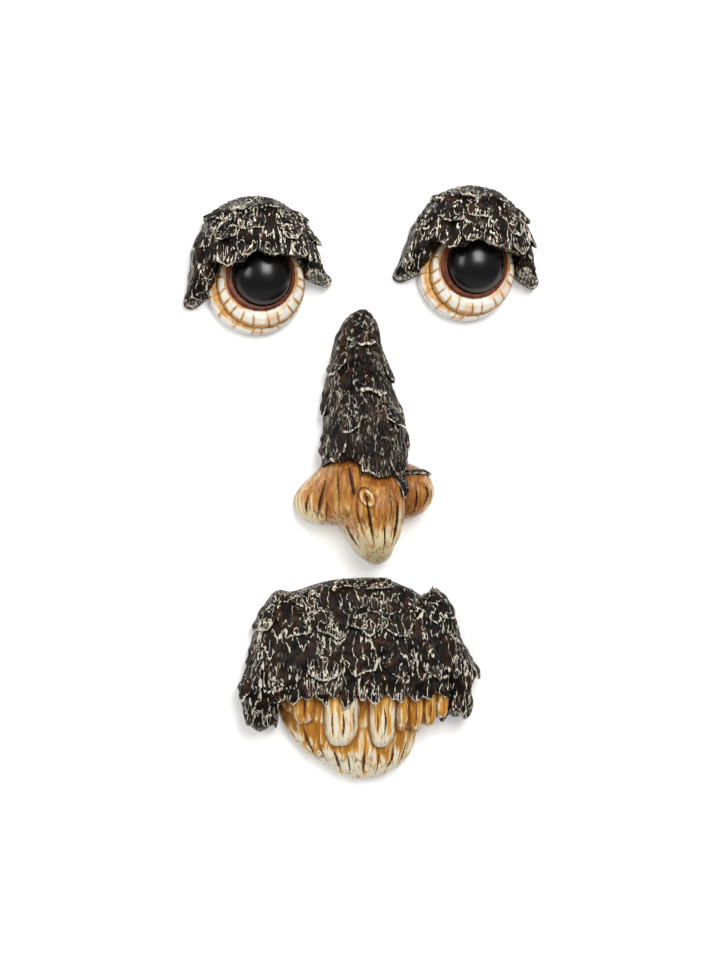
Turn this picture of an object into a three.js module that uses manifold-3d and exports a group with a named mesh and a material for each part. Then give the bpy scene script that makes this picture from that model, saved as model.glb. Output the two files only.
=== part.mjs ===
// A tree face: two eyes, a nose and a mouth, four cast pieces that hang side by side on the trunk of a tree.
// Millimetres. The face looks along -Y, +Z is up and +X is to the viewer's right.
// The flat backs of the castings lie in the plane Y = 0, and the origin is on the back of the nose.
// Inside a casting a place is [across, up] in hundredths of the casting's own size, and height is measured
// out from its back.
import * as THREE from "three";
import { mergeVertices } from "three/addons/utils/BufferGeometryUtils.js";
import Module from "manifold-3d";

const wasm = await Module();
wasm.setup();

// Overall sizes
const EYE_WIDTH = 90;
const EYE_DEPTH = 36;
const NOSE_HEIGHT = 154;
const NOSE_DEPTH = 44;
const MOUTH_WIDTH = 146;
const MOUTH_DEPTH = 31;

// Where the castings hang
const LEFT_EYE_TO_NOSE_LINE = 17.5;
const RIGHT_EYE_TO_NOSE_LINE = 25.5;
const EYE_ABOVE_NOSE = 18;
const RIGHT_EYE_RAISED = 8;
const RIGHT_EYE_TURN = THREE.MathUtils.degToRad(12);
const NOSE_TO_MOUTH = 7;
const MOUTH_SHIFT = -1.3;

// The pupil and its seat
const PUPIL_DIAMETER = 34;
const PUPIL_DOME = 12;
const PUPIL_RIM = 3;
const PUPIL_BASE = 12;
const PUPIL_CLEARANCE = 0.3;
const IRIS_RING_WIDTH = 3.2;
const IRIS_RING_SHIFT = -1;

// The keyhole in each back
const KEYHOLE_ENTRY_DIAMETER = 9;
const KEYHOLE_SLOT_WIDTH = 4.4;
const KEYHOLE_RUN = 9;
const KEYHOLE_DEPTH = 6;
const KEYHOLE_LIP = 2;
const KEYHOLE_ABOVE_MOUNT = 12;

// Bark
const BARK_THICKNESS = 3.2;
const BARK_ROOT_DEPTH = 3;

// The shape of a bark plate, in shares of its own length, width and thickness
const PLATE_ROOT_LIFT = -0.2;
const PLATE_ROOT_WIDTH = 0.8;
const PLATE_TIP_WIDTH = 0.72;
const PLATE_TIP_REACH = [0.84, 1.16];
const PLATE_CORNER_LOSS = 0.2;
const PLATE_EDGE_LOSS = 0.35;
const PLATE_LEAN_SPREAD = 0.3;

// How much the plates of a row differ
const ROOT_SCATTER = 0.14;
const WIDTH_SPREAD = [0.9, 1.15];
const LENGTH_SPREAD = [0.88, 1.18];
const THICKNESS_SPREAD = [0.8, 1.2];

// Fineness of the facets
const RIM_POINTS = 96;
const PLATE_COLUMNS = 3;
const PLATE_ROWS = 1;
const ROW_STEPS = 40;
const ARC_STEPS = 4;
const PUPIL_SIDES = 22;

// How far forms reach behind the back plane before it is cut flat, and how far a cutter passes a surface
const BEHIND_BACK = 3;
const PAST = 1;

// A place past the edge of any casting, in hundredths
const PAST_ALL = 110;

const PERCENT = 0.01;
const eyeUnit = EYE_WIDTH * PERCENT;
const noseUnit = NOSE_HEIGHT * PERCENT;
const mouthUnit = MOUTH_WIDTH * PERCENT;

// A repeatable number from 0 to 1 for a whole number, so that no two bark plates are alike.
function chance(seed) {
  const wave = Math.sin(seed * 12.9898 + 4.1414) * 43758.5453;
  return wave - Math.floor(wave);
}

function mix(from, to, share) {
  return from + (to - from) * share;
}

// 0 below the first value, 1 above the second, and smooth between them.
function ease(from, to, value) {
  return THREE.MathUtils.smoothstep(value, from, to);
}

// A line of places across, each with its height, read off at a place across.
function heightOn(line, across) {
  const after = line.findIndex(([x]) => x > across);
  if (after === 0) return line[0][1];
  if (after < 0) return line[line.length - 1][1];
  const [[x0, z0], [x1, z1]] = [line[after - 1], line[after]];
  return mix(z0, z1, (across - x0) / (x1 - x0));
}

// A point from its place across and up and its height above the back.
function spot(across, up, height) {
  return new THREE.Vector3(across, -height, up);
}

// A closed solid from points and triangles, with its faces pointing out.
function solidOf(points, faces) {
  const geometry = new THREE.BufferGeometry().setFromPoints(points).setIndex(faces.flat());
  return solidOfGeometry(geometry);
}

function solidOfGeometry(geometry) {
  const bare = geometry.clone();
  bare.deleteAttribute("normal");
  bare.deleteAttribute("uv");
  const merged = mergeVertices(bare);
  const corners = merged.attributes.position.array;
  const index = merged.index.array;
  const turned = signedVolume(corners, index) < 0;
  const triVerts = [];
  for (let i = 0; i < index.length; i += 3) {
    const [a, b, c] = [index[i], index[i + 1], index[i + 2]];
    if (a === b || b === c || c === a) continue;
    triVerts.push(...(turned ? [a, c, b] : [a, b, c]));
  }
  const vertProperties = new Float32Array(corners);
  const mesh = new wasm.Mesh({ numProp: 3, vertProperties, triVerts: new Uint32Array(triVerts) });
  return new wasm.Manifold(mesh);
}

function signedVolume(corners, index) {
  const [a, b, c] = [new THREE.Vector3(), new THREE.Vector3(), new THREE.Vector3()];
  let total = 0;
  for (let i = 0; i < index.length; i += 3) {
    a.fromArray(corners, index[i] * 3);
    b.fromArray(corners, index[i + 1] * 3);
    c.fromArray(corners, index[i + 2] * 3);
    total += a.dot(b.cross(c)) / 6;
  }
  return total;
}

// Joins rings of points, one after the other, and closes both ends with a fan about the ring's middle.
function loft(rings) {
  const size = rings[0].length;
  const points = rings.flat();
  const faces = [];
  for (let ring = 0; ring < rings.length - 1; ring++) {
    for (let i = 0; i < size; i++) {
      const next = (i + 1) % size;
      const [a, b] = [ring * size + i, ring * size + next];
      faces.push([a, b, b + size], [a, b + size, a + size]);
    }
  }
  for (const [first, flip] of [[0, true], [(rings.length - 1) * size, false]]) {
    const middle = points.length;
    const sum = new THREE.Vector3();
    for (let i = 0; i < size; i++) sum.add(points[first + i]);
    points.push(sum.divideScalar(size));
    for (let i = 0; i < size; i++) {
      const [a, b] = [first + i, first + ((i + 1) % size)];
      faces.push(flip ? [b, a, middle] : [a, b, middle]);
    }
  }
  return solidOf(points, faces);
}

// A swelling form on the flat back: (distance from its centre / distance to its rim) and (height / depth),
// each to the power of its fullness, add up to 1. The rim is a smooth closed curve through a few points.
class Swelling {
  constructor({ unit, centre, rim, depth, fullness = 2.2 }) {
    this.unit = unit;
    this.centre = centre.map((value) => value * unit);
    this.depth = depth;
    this.fullness = fullness;
    const curve = new THREE.CatmullRomCurve3(
      rim.map(([across, up]) => spot(across * unit, up * unit, 0)),
      true,
      "catmullrom",
    );
    this.rim = curve;
    this.bearings = curve
      .getPoints(RIM_POINTS)
      .slice(0, RIM_POINTS)
      .map((point) => [point.x - this.centre[0], point.z - this.centre[1]])
      .map(([across, up]) => ({ angle: Math.atan2(up, across), reach: Math.hypot(across, up) }))
      .sort((a, b) => a.angle - b.angle);
  }

  // Distance from the centre to the rim along a bearing.
  reach(angle) {
    const list = this.bearings;
    const after = list.findIndex((entry) => entry.angle > angle);
    const [low, high] =
      after <= 0 ? [list[list.length - 1], list[0]] : [list[after - 1], list[after]];
    const turn = 2 * Math.PI;
    const gap = (high.angle - low.angle + turn) % turn;
    const share = gap > 0 ? ((angle - low.angle + turn) % turn) / gap : 0;
    return mix(low.reach, high.reach, share);
  }

  // Depth at a place, in millimetres: a number, or a function of the place in hundredths.
  depthAt(across, up) {
    if (typeof this.depth === "number") return this.depth;
    return this.depth(across / this.unit, up / this.unit);
  }

  // Above 0 outside the form, below 0 inside it.
  outside(point) {
    const across = point.x - this.centre[0];
    const up = point.z - this.centre[1];
    const spread = Math.hypot(across, up) / this.reach(Math.atan2(up, across));
    const rise = Math.abs(point.y) / this.depthAt(point.x, point.z);
    return spread ** this.fullness + rise ** this.fullness - 1;
  }

  // How fast that value grows along each axis.
  slope(point) {
    const step = 0.05;
    const slope = new THREE.Vector3();
    for (const axis of ["x", "y", "z"]) {
      const [more, less] = [point.clone(), point.clone()];
      more[axis] += step;
      less[axis] -= step;
      slope[axis] = (this.outside(more) - this.outside(less)) / (2 * step);
    }
    return slope;
  }

  // The place on the surface nearest to a point, and the direction straight out of the surface there.
  nearest(point) {
    const corrections = 4;
    const place = point.clone();
    for (let i = 0; i < corrections; i++) {
      const slope = this.slope(place);
      place.addScaledVector(slope, -this.outside(place) / slope.lengthSq());
    }
    return { place, out: this.slope(place).normalize() };
  }

  // Height of the surface over a place.
  heightAt(across, up) {
    const [x, z] = [across - this.centre[0], up - this.centre[1]];
    const spread = Math.min(1, Math.hypot(x, z) / this.reach(Math.atan2(z, x)));
    return this.depthAt(across, up) * (1 - spread ** this.fullness) ** (1 / this.fullness);
  }

  // The surface at a level, seen from the back plane's centre line at an angle from straight ahead.
  around(angle, levelAt) {
    const [rounds, halvings, beyond] = [3, 20, 3];
    let place = spot(this.centre[0], levelAt(this.centre[0]), 0);
    for (let round = 0; round < rounds; round++) {
      const level = levelAt(place.x);
      let [near, far] = [0, beyond * this.reach(0) + this.depthAt(this.centre[0], level)];
      for (let halving = 0; halving < halvings; halving++) {
        const middle = (near + far) / 2;
        place = spot(this.centre[0] + middle * Math.sin(angle), level, middle * Math.cos(angle));
        if (this.outside(place) > 0) far = middle;
        else near = middle;
      }
    }
    return place;
  }

  // Places at even steps along the surface at a level, from one share of the way round to another. Share 0 is
  // on the back plane at the left and share 1 on the back plane at the right.
  row(levelAt, from, to, count) {
    const path = [];
    for (let i = 0; i <= ROW_STEPS; i++) path.push(this.around((i / ROW_STEPS - 0.5) * Math.PI, levelAt));
    const lengths = [0];
    for (let i = 1; i < path.length; i++) lengths.push(lengths[i - 1] + path[i].distanceTo(path[i - 1]));
    const whole = lengths[ROW_STEPS];
    return Array.from({ length: count }, (_, i) => {
      const goal = whole * mix(from, to, count > 1 ? i / (count - 1) : 0.5);
      const after = Math.max(1, lengths.findIndex((length) => length >= goal));
      const share = (goal - lengths[after - 1]) / (lengths[after] - lengths[after - 1]);
      return path[after - 1].clone().lerp(path[after], share);
    });
  }

  // The form as a solid that reaches a little behind the back plane, where it is cut off flat later.
  solid(sides, rings) {
    const rim = this.rim.getSpacedPoints(sides).slice(0, sides);
    const all = [rim.map((point) => spot(point.x, point.z, -BEHIND_BACK))];
    for (let ring = 0; ring < rings; ring++) {
      const lift = ((ring / rings) * Math.PI) / 2;
      const spread = Math.cos(lift) ** (2 / this.fullness);
      const rise = Math.sin(lift) ** (2 / this.fullness);
      all.push(
        rim.map((point) => {
          const across = mix(this.centre[0], point.x, spread);
          const up = mix(this.centre[1], point.z, spread);
          return spot(across, up, this.depthAt(across, up) * rise);
        }),
      );
    }
    return loft(all);
  }
}

// One plate of bark on a swelling form. It starts just inside the form, lifts towards its free end and has a
// ragged end. Its underside lies inside the form.
function barkPlate(form, root, { width, length, thickness, fan, seed }) {
  const start = form.nearest(root);
  const down = new THREE.Vector3(fan + PLATE_LEAN_SPREAD * (chance(seed) - 0.5), 0, -1);
  down.addScaledVector(start.out, -down.dot(start.out)).normalize();
  const side = new THREE.Vector3().crossVectors(start.out, down).normalize();
  const [top, bottom] = [[], []];
  for (let row = 0; row <= PLATE_ROWS; row++) {
    for (let column = 0; column <= PLATE_COLUMNS; column++) {
      const along = row / PLATE_ROWS;
      const sideways = (2 * column) / PLATE_COLUMNS - 1;
      const reach = mix(...PLATE_TIP_REACH, chance(seed * 7 + column)) - PLATE_CORNER_LOSS * sideways ** 2;
      const taper = mix(PLATE_ROOT_WIDTH, PLATE_TIP_WIDTH, along);
      const place = start.place
        .clone()
        .addScaledVector(down, length * along * mix(1, reach, along))
        .addScaledVector(side, (width / 2) * sideways * taper);
      const on = form.nearest(place);
      const lift = thickness * mix(PLATE_ROOT_LIFT, 1 - PLATE_EDGE_LOSS * sideways ** 2, along);
      top.push(on.place.clone().addScaledVector(on.out, lift));
      bottom.push(on.place.clone().addScaledVector(on.out, -BARK_ROOT_DEPTH));
    }
  }
  return slab(top, bottom);
}

// A sheet of points and the same sheet lower down, closed round the sides.
function slab(top, bottom) {
  const columns = PLATE_COLUMNS + 1;
  const last = PLATE_ROWS * columns;
  const low = top.length;
  const faces = [];
  for (let row = 0; row < PLATE_ROWS; row++) {
    for (let column = 0; column < PLATE_COLUMNS; column++) {
      const a = row * columns + column;
      const [b, c, d] = [a + 1, a + columns + 1, a + columns];
      faces.push([a, c, b], [a, d, c], [low + a, low + b, low + c], [low + a, low + c, low + d]);
    }
  }
  const border = [];
  for (let column = 0; column < PLATE_COLUMNS; column++) border.push(column);
  for (let row = 0; row < PLATE_ROWS; row++) border.push(row * columns + PLATE_COLUMNS);
  for (let column = PLATE_COLUMNS; column > 0; column--) border.push(last + column);
  for (let row = PLATE_ROWS; row > 0; row--) border.push(row * columns);
  border.forEach((a, i) => {
    const b = border[(i + 1) % border.length];
    faces.push([a, b, low + b], [a, low + b, low + a]);
  });
  return solidOf([...top, ...bottom], faces);
}

// Rows of bark plates side by side round a form. A row spans from one share of the way round to another, at a
// level that is a number or a function of the place across, in hundredths.
function barkRows(form, rows) {
  return rows.flatMap((row) => barkRow(form, row));
}

function barkRow(form, { level, span, count, width, length, seed, fan = 0 }) {
  const unit = form.unit;
  const levelAt = typeof level === "number" ? () => level * unit : (across) => level(across / unit) * unit;
  return form.row(levelAt, ...span, count).map((root, i) => {
    root.z += ROOT_SCATTER * length * (chance(seed + 31 * i) - 0.5) * unit;
    return barkPlate(form, root, {
      width: width * unit * mix(...WIDTH_SPREAD, chance(seed + 17 * i)),
      length: length * unit * mix(...LENGTH_SPREAD, chance(seed + 5 * i)),
      thickness: BARK_THICKNESS * mix(...THICKNESS_SPREAD, chance(seed + 3 * i)),
      fan: (fan * (root.x - form.centre[0])) / form.reach(0),
      seed: seed + i,
    });
  });
}

// A cutter for a tapered groove along a line of places on a form, widest and deepest in its middle.
function groove(form, line, width, depth) {
  const unit = form.unit;
  const curve = new THREE.CatmullRomCurve3(line.map(([across, up]) => spot(across * unit, up * unit, 0)));
  const steps = line.length;
  const rings = [];
  for (let step = 0; step <= steps; step++) {
    const share = step / steps;
    const point = curve.getPoint(share);
    const run = curve.getTangent(share);
    const half = (width / 2) * mix(0.3, 1, Math.sin(Math.PI * share));
    const [across, up] = [-run.z * half, run.x * half];
    const height = form.heightAt(point.x, point.z);
    const low = depth * mix(0.4, 1, Math.sin(Math.PI * share));
    rings.push([
      spot(point.x + across, point.z + up, height + PAST),
      spot(point.x, point.z, height - low),
      spot(point.x - across, point.z - up, height + PAST),
    ]);
  }
  return loft(rings);
}

// A cutter straight out from the back over all that lies under a line of places, in hundredths.
function under(line, unit, high) {
  const [far, low] = [PAST_ALL, -2 * PAST_ALL];
  const [left, right] = [line[0], line[line.length - 1]];
  const outline = [[-far, low], [far, low], [far, right[1]], ...line.toReversed(), [-far, left[1]]];
  const shape = new THREE.Shape(outline.map(([across, up]) => new THREE.Vector2(across * unit, up * unit)));
  return extruded(shape, -PAST, high);
}

function extruded(shape, low, high) {
  const geometry = new THREE.ExtrudeGeometry(shape, {
    depth: high - low,
    bevelEnabled: false,
    curveSegments: ARC_STEPS,
  });
  geometry.rotateX(Math.PI / 2);
  geometry.translate(0, -low, 0);
  return solidOfGeometry(geometry);
}

// The keyhole: a round entry for a nail's head, a narrow slot above it, and a wide pocket behind the slot.
function keyhole([across, up]) {
  const entry = KEYHOLE_ENTRY_DIAMETER / 2;
  const half = KEYHOLE_SLOT_WIDTH / 2;
  const pocket = new THREE.Shape();
  pocket.absarc(across, up, entry, Math.PI, 2 * Math.PI, false);
  pocket.absarc(across, up + KEYHOLE_RUN, entry, 0, Math.PI, false);
  const hole = new THREE.Shape().absarc(across, up, entry, 0, 2 * Math.PI, false);
  const slot = new THREE.Shape();
  slot.moveTo(across - half, up);
  slot.lineTo(across + half, up);
  slot.absarc(across, up + KEYHOLE_RUN, half, 0, Math.PI, false);
  return extruded(pocket, KEYHOLE_LIP, KEYHOLE_DEPTH)
    .add(extruded(hole, -PAST, KEYHOLE_DEPTH))
    .add(extruded(slot, -PAST, KEYHOLE_LIP + PAST));
}

function joined(solids) {
  return solids.reduce((all, next) => all.add(next));
}

function cut(solid, cutters) {
  return cutters.reduce((left, cutter) => left.subtract(cutter), solid);
}

// Takes away what lies behind the flat back.
function flatBacked(solid) {
  const reach = 4 * Math.max(EYE_WIDTH, NOSE_HEIGHT, MOUTH_WIDTH);
  const block = new THREE.BoxGeometry(reach, reach, reach).translate(0, reach / 2, 0);
  return solid.subtract(solidOfGeometry(block));
}

function meshOf(solid, name, material) {
  const { vertProperties, triVerts } = solid.getMesh();
  const geometry = new THREE.BufferGeometry();
  geometry.setAttribute("position", new THREE.BufferAttribute(vertProperties, 3));
  geometry.setIndex(new THREE.BufferAttribute(triVerts, 1));
  geometry.computeVertexNormals();
  const mesh = new THREE.Mesh(geometry, material);
  mesh.name = name;
  return mesh;
}

// The eye

// The front edge of the lid.
const LID_EDGE = [[-32, 7], [-24, 10], [-17, 8], [-12, 7.5], [-9, 12], [-7, 16.5], [-3, 14.5], [5, 13.5],
  [13, 12.5], [20, 12], [27, 11], [31, 9]];

function lidEdge(across) {
  return heightOn(LID_EDGE, across);
}

const lidForm = new Swelling({
  unit: eyeUnit,
  centre: [-3, 5],
  rim: [[-42, 5], [-41, 24], [-34, 38], [-22, 48], [-8, 52], [8, 51], [20, 44], [30, 35], [36, 22], [37, 8],
    [30, -10], [14, -20], [-4, -23], [-22, -19], [-36, -8]],
  depth: EYE_DEPTH - BARK_THICKNESS,
  fullness: 2.25,
});

const leftFlapForm = new Swelling({
  unit: eyeUnit,
  centre: [-38, 2],
  rim: [[-43, 20], [-46, 6], [-48, -8], [-50, -18], [-45, -21], [-38, -17], [-33, -11], [-29, -2], [-27, 12],
    [-34, 22]],
  depth: (across, up) => EYE_DEPTH * mix(0.3, 0.6, ease(-20, 8, up)),
  fullness: 2.6,
});

const rightFlapForm = new Swelling({
  unit: eyeUnit,
  centre: [34, 3],
  rim: [[32, 15], [37, 12], [41, 5], [46, -1], [44, -5.5], [38, -4.5], [32, -2], [27, 2], [26, 12]],
  depth: (across, up) => EYE_DEPTH * mix(0.35, 0.62, ease(-6, 8, up)),
  fullness: 2.6,
});

// A round ledge with grooves across it. The profile runs from its foot to its inner edge as [radius, height]
// in millimetres. Its middle moves evenly from one place at the foot to another at the inner edge, and each
// groove lowers and narrows the ledge a little.
function notchedLedge({ foot, edge, profile, notches, notchDepth }) {
  const perNotch = 2;
  const sides = notches * perNotch;
  const rings = profile.map(([radius, height, share], i) => {
    const moved = i / (profile.length - 1);
    const [across, up] = [mix(foot[0], edge[0], moved), mix(foot[1], edge[1], moved)];
    return Array.from({ length: sides }, (_, side) => {
      const angle = ((side + 0.3 * chance(side)) / sides) * 2 * Math.PI;
      const notch = side % perNotch === 0 ? notchDepth * share : 0;
      const reach = radius - 0.5 * notch;
      return spot(across + reach * Math.cos(angle), up + reach * Math.sin(angle), height - notch);
    });
  });
  return loft(rings);
}

function socket() {
  const lip = 32 * eyeUnit;
  const inner = 28.5 * eyeUnit;
  const seat = PUPIL_DIAMETER / 2;
  const iris = seat + IRIS_RING_WIDTH;
  const top = PUPIL_BASE + PUPIL_RIM;
  const lipMiddle = [-3.5 * eyeUnit, -5 * eyeUnit];
  const outerLip = notchedLedge({
    foot: lipMiddle,
    edge: lipMiddle,
    profile: [
      [lip, -BEHIND_BACK, 0],
      [lip, 0.32 * top, 1],
      [0.96 * lip, 0.54 * top, 1],
      [0.88 * lip, 0.6 * top, 1],
    ],
    notches: 17,
    notchDepth: 1,
  });
  const innerLedge = notchedLedge({
    foot: [-0.5 * eyeUnit, -5.5 * eyeUnit],
    edge: [-0.5 * eyeUnit, -2 * eyeUnit],
    profile: [
      [inner, -BEHIND_BACK, 0],
      [inner, 0.66 * top, 1],
      [mix(iris, inner, 0.75), 0.9 * top, 1],
      [mix(iris, inner, 0.3), 1.02 * top, 1],
      [iris, 0.92 * top, 0.3],
    ],
    notches: 21,
    notchDepth: 1.2,
  });
  const ringProfile = [
    [0, -BEHIND_BACK],
    [iris, -BEHIND_BACK],
    [iris, 0.94 * top],
    [mix(seat, iris, 0.6), 1.02 * top],
    [seat, top],
    [0, top],
  ].map(([radius, height]) => new THREE.Vector2(radius, height));
  const ringGeometry = new THREE.LatheGeometry(ringProfile, PUPIL_SIDES).rotateX(Math.PI);
  const ring = solidOfGeometry(ringGeometry.translate(IRIS_RING_SHIFT, 0, 0));
  return [outerLip, innerLedge, ring];
}

// The pupil is a round-edged dome on a short rim. A clearance makes it the shape of its seat.
function pupilSolid(clearance) {
  const radius = PUPIL_DIAMETER / 2 + clearance;
  const base = PUPIL_BASE - clearance;
  const rim = PUPIL_BASE + PUPIL_RIM;
  const steps = 4;
  const profile = [new THREE.Vector2(0, base), new THREE.Vector2(radius, base)];
  for (let step = 0; step <= steps; step++) {
    const lift = ((step / steps) * Math.PI) / 2;
    const across = step === steps ? 0 : radius * Math.cos(lift);
    profile.push(new THREE.Vector2(across, rim + (PUPIL_DOME + clearance) * Math.sin(lift)));
  }
  return solidOfGeometry(new THREE.LatheGeometry(profile, PUPIL_SIDES).rotateX(Math.PI));
}

const EYE_KEYHOLE_ABOVE_MIDDLE = 8;

// The level of the lid's upper row, which drops away to both sides.
function crownLevel(across) {
  return 49 - 0.011 * (across + 3) ** 2;
}

const LID_ROWS = [
  { level: (x) => lidEdge(x) + 13, span: [0.19, 0.86], count: 6, width: 17, length: 15, seed: 11, fan: 0.35 },
  { level: (x) => lidEdge(x) + 24, span: [0.12, 0.9], count: 5, width: 20, length: 17, seed: 41, fan: 0.45 },
  { level: crownLevel, span: [0.17, 0.85], count: 4, width: 18, length: 15, seed: 71, fan: 0.5 },
];

const LEFT_FLAP_ROWS = [
  { level: -2, span: [0.5, 0.5], count: 1, width: 15, length: 16, seed: 105, fan: -0.1 },
  { level: 12, span: [0.5, 0.5], count: 1, width: 16, length: 17, seed: 115, fan: -0.1 },
];

function eyeSolid() {
  const whole = joined([
    lidForm.solid(22, 4).subtract(under(LID_EDGE, eyeUnit, 2 * EYE_DEPTH)),
    leftFlapForm.solid(14, 3),
    rightFlapForm.solid(14, 3),
    ...barkRows(lidForm, LID_ROWS),
    ...barkRows(leftFlapForm, LEFT_FLAP_ROWS),
    ...socket(),
  ]);
  return cut(flatBacked(whole), [pupilSolid(PUPIL_CLEARANCE), keyhole([0, EYE_KEYHOLE_ABOVE_MIDDLE])]);
}

// The nose

const noseBarkForm = new Swelling({
  unit: noseUnit,
  centre: [1.5, 12],
  rim: [[1.5, 46.5], [-5.5, 43], [-10, 34], [-12, 25], [-14.5, 14], [-14.5, 0], [-15, -14], [-15, -30],
    [-10, -44], [2, -50], [13, -44], [18, -30], [17.5, -14], [17, -2], [14, 9], [11, 20], [8.5, 31],
    [6.5, 41]],
  depth: (across, up) => NOSE_DEPTH * mix(0.95, 0.32, ease(-22, 48, up)),
  fullness: 2.5,
});

// Where the bark ends on the wood: highest left of the middle, and lowest in the lobe at the middle.
const NOSE_BARK_EDGE = [[-16, -14], [-12, -10.5], [-6, -9.5], [-3, -12], [0, -15.5], [3, -17], [8, -16.5],
  [10, -15], [20, -15]];

const noseTipForm = new Swelling({
  unit: noseUnit,
  centre: [3, -26],
  rim: [[-11, -10], [-12.5, -22], [-11, -33], [-6, -41], [-1, -48.5], [5, -52], [10, -50], [13, -44],
    [16, -36], [18, -26], [17, -12], [4, -6]],
  depth: (across, up) => NOSE_DEPTH * mix(1, 0.82, ease(-30, -12, up)),
  fullness: 2.3,
});

const leftNostrilForm = new Swelling({
  unit: noseUnit,
  centre: [-9, -23],
  rim: [[-25.6, -26], [-24.6, -32], [-19, -35.8], [-11, -36.4], [-5, -35.5], [1, -30], [3, -20], [0, -10],
    [-4, -7], [-9, -7.5], [-13, -11], [-17, -16], [-22, -20.5]],
  depth: (across) => NOSE_DEPTH * mix(0.5, 0.9, ease(-25, -3, across)),
  fullness: 2.6,
});

const rightNostrilForm = new Swelling({
  unit: noseUnit,
  centre: [19, -24],
  rim: [[13, -13], [20, -13.5], [25, -16.5], [28, -21], [27.6, -27.5], [24, -32], [17, -34.5], [11, -30],
    [10, -18]],
  depth: 0.6 * NOSE_DEPTH,
  fullness: 2.4,
});

const NOSE_ROWS = [
  { level: -4, span: [0.52, 0.66], count: 2, width: 12, length: 13, seed: 203 },
  { level: 5, span: [0.12, 0.29], count: 2, width: 13, length: 15, seed: 211 },
  { level: 7, span: [0.92, 0.92], count: 1, width: 11, length: 16, seed: 225 },
  { level: 13, span: [0.41, 0.7], count: 2, width: 14, length: 15, seed: 231 },
  { level: 20, span: [0.12, 0.87], count: 2, width: 12, length: 15, seed: 241 },
  { level: 28, span: [0.55, 0.55], count: 1, width: 16, length: 15, seed: 246 },
  { level: 34, span: [0.2, 0.84], count: 2, width: 13, length: 14, seed: 261 },
  { level: 44, span: [0.5, 0.5], count: 1, width: 19, length: 12, seed: 281 },
];

// A strip of bark hangs over the wood at the right of the tip.
const NOSE_TIP_ROWS = [{ level: -13, span: [0.68, 0.68], count: 1, width: 10, length: 14, seed: 223 }];

// Bark hoods the top of the right nostril.
const RIGHT_NOSTRIL_ROWS = [{ level: -14.5, span: [0.42, 0.84], count: 3, width: 10, length: 5, seed: 291 }];

function noseSolid() {
  const whole = joined([
    noseBarkForm.solid(22, 4).subtract(under(NOSE_BARK_EDGE, noseUnit, 2 * NOSE_DEPTH)),
    noseTipForm.solid(22, 5),
    leftNostrilForm.solid(20, 4),
    rightNostrilForm.solid(16, 4),
    ...barkRows(noseBarkForm, NOSE_ROWS),
    ...barkRows(noseTipForm, NOSE_TIP_ROWS),
    ...barkRows(rightNostrilForm, RIGHT_NOSTRIL_ROWS),
  ]);
  const cracks = [
    groove(leftNostrilForm, [[-7.5, -11], [-6, -20], [-4, -32]], 2.8, 2.4),
    groove(noseTipForm, [[-2, -18], [0, -32], [3, -46]], 2.4, 2),
    groove(noseTipForm, [[10, -21], [11, -33], [9, -45]], 2.8, 2.2),
    groove(leftNostrilForm, [[-14, -18], [-17, -26], [-18, -34]], 2.8, 2),
    groove(rightNostrilForm, [[22, -18], [24, -24], [22, -30]], 2.6, 1.8),
  ];
  return cut(flatBacked(whole), [...cracks, keyhole([0, KEYHOLE_ABOVE_MOUNT])]);
}

// The mouth

const moustacheForm = new Swelling({
  unit: mouthUnit,
  centre: [0, -4],
  rim: [[-46, -4], [-44.5, 9], [-41, 21], [-37.5, 27.5], [-33.5, 31.5], [-27, 31], [-17, 34], [-8, 35.6],
    [9, 35.8], [21, 31.5], [28.5, 27.5], [32, 31], [35.8, 28.6], [39.5, 21.5], [43, 10.5], [44, 0],
    [43, -10], [32, -26], [0, -34], [-32, -26], [-45, -14]],
  depth: (across, up) => MOUTH_DEPTH * mix(0.92, 0.62, ease(-6, 38, up)),
  fullness: 3,
});

// Where the moustache ends over the teeth.
const MOUSTACHE_EDGE = [[-34.1, -PAST_ALL], [-34, -6], [-18, -7], [-12, -9], [14, -9], [22, -7], [34, -4],
  [34.1, -PAST_ALL]];

const leftFallForm = new Swelling({
  unit: mouthUnit,
  centre: [-41, -6],
  rim: [[-35, 12], [-42, 11], [-46, 1], [-48.5, -8], [-47.5, -18], [-43.5, -25], [-39.5, -25.5], [-35, -21],
    [-32, -12], [-32, 2]],
  depth: 0.72 * MOUTH_DEPTH,
  fullness: 2.8,
});

const rightFallForm = new Swelling({
  unit: mouthUnit,
  centre: [41, -5],
  rim: [[36, 12], [42, 11], [46, 4], [48.5, -4], [46.5, -11], [46, -19], [41, -22.5], [36.5, -20], [35, -10],
    [34, 2]],
  depth: 0.7 * MOUTH_DEPTH,
  fullness: 2.8,
});

const lipForm = new Swelling({
  unit: mouthUnit,
  centre: [-3, -26],
  rim: [[-33, -17], [-30, -25.5], [-24, -34], [-16, -40], [-7, -45.5], [1, -47.6], [9, -46.5], [18, -42],
    [23, -35], [25, -27], [30, -14], [0, -6], [-30, -8]],
  depth: 0.62 * MOUTH_DEPTH,
  fullness: 2.5,
});

// The gum that the teeth stand in.
const gumForm = new Swelling({
  unit: mouthUnit,
  centre: [0, -8],
  rim: [[-35, 0], [-34, -12], [-28, -19], [-17, -24], [0, -27.5], [15, -26.5], [27, -24], [35, -18], [37, 0],
    [0, 6]],
  depth: 0.67 * MOUTH_DEPTH,
  fullness: 5,
});

// A tooth: a rounded block from its root under the bark down to its biting edge.
function tooth(left, right, root, edge, depthShare) {
  const middle = (left + right) / 2;
  return new Swelling({
    unit: mouthUnit,
    centre: [middle, mix(root, edge, 0.45)],
    rim: [[left, root], [left, mix(root, edge, 0.7)], [mix(left, right, 0.2), mix(root, edge, 0.95)],
      [middle, edge], [mix(left, right, 0.8), mix(root, edge, 0.95)], [right, mix(root, edge, 0.7)],
      [right, root], [middle, root + 2]],
    depth: depthShare * MOUTH_DEPTH,
    fullness: 5,
  });
}

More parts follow.
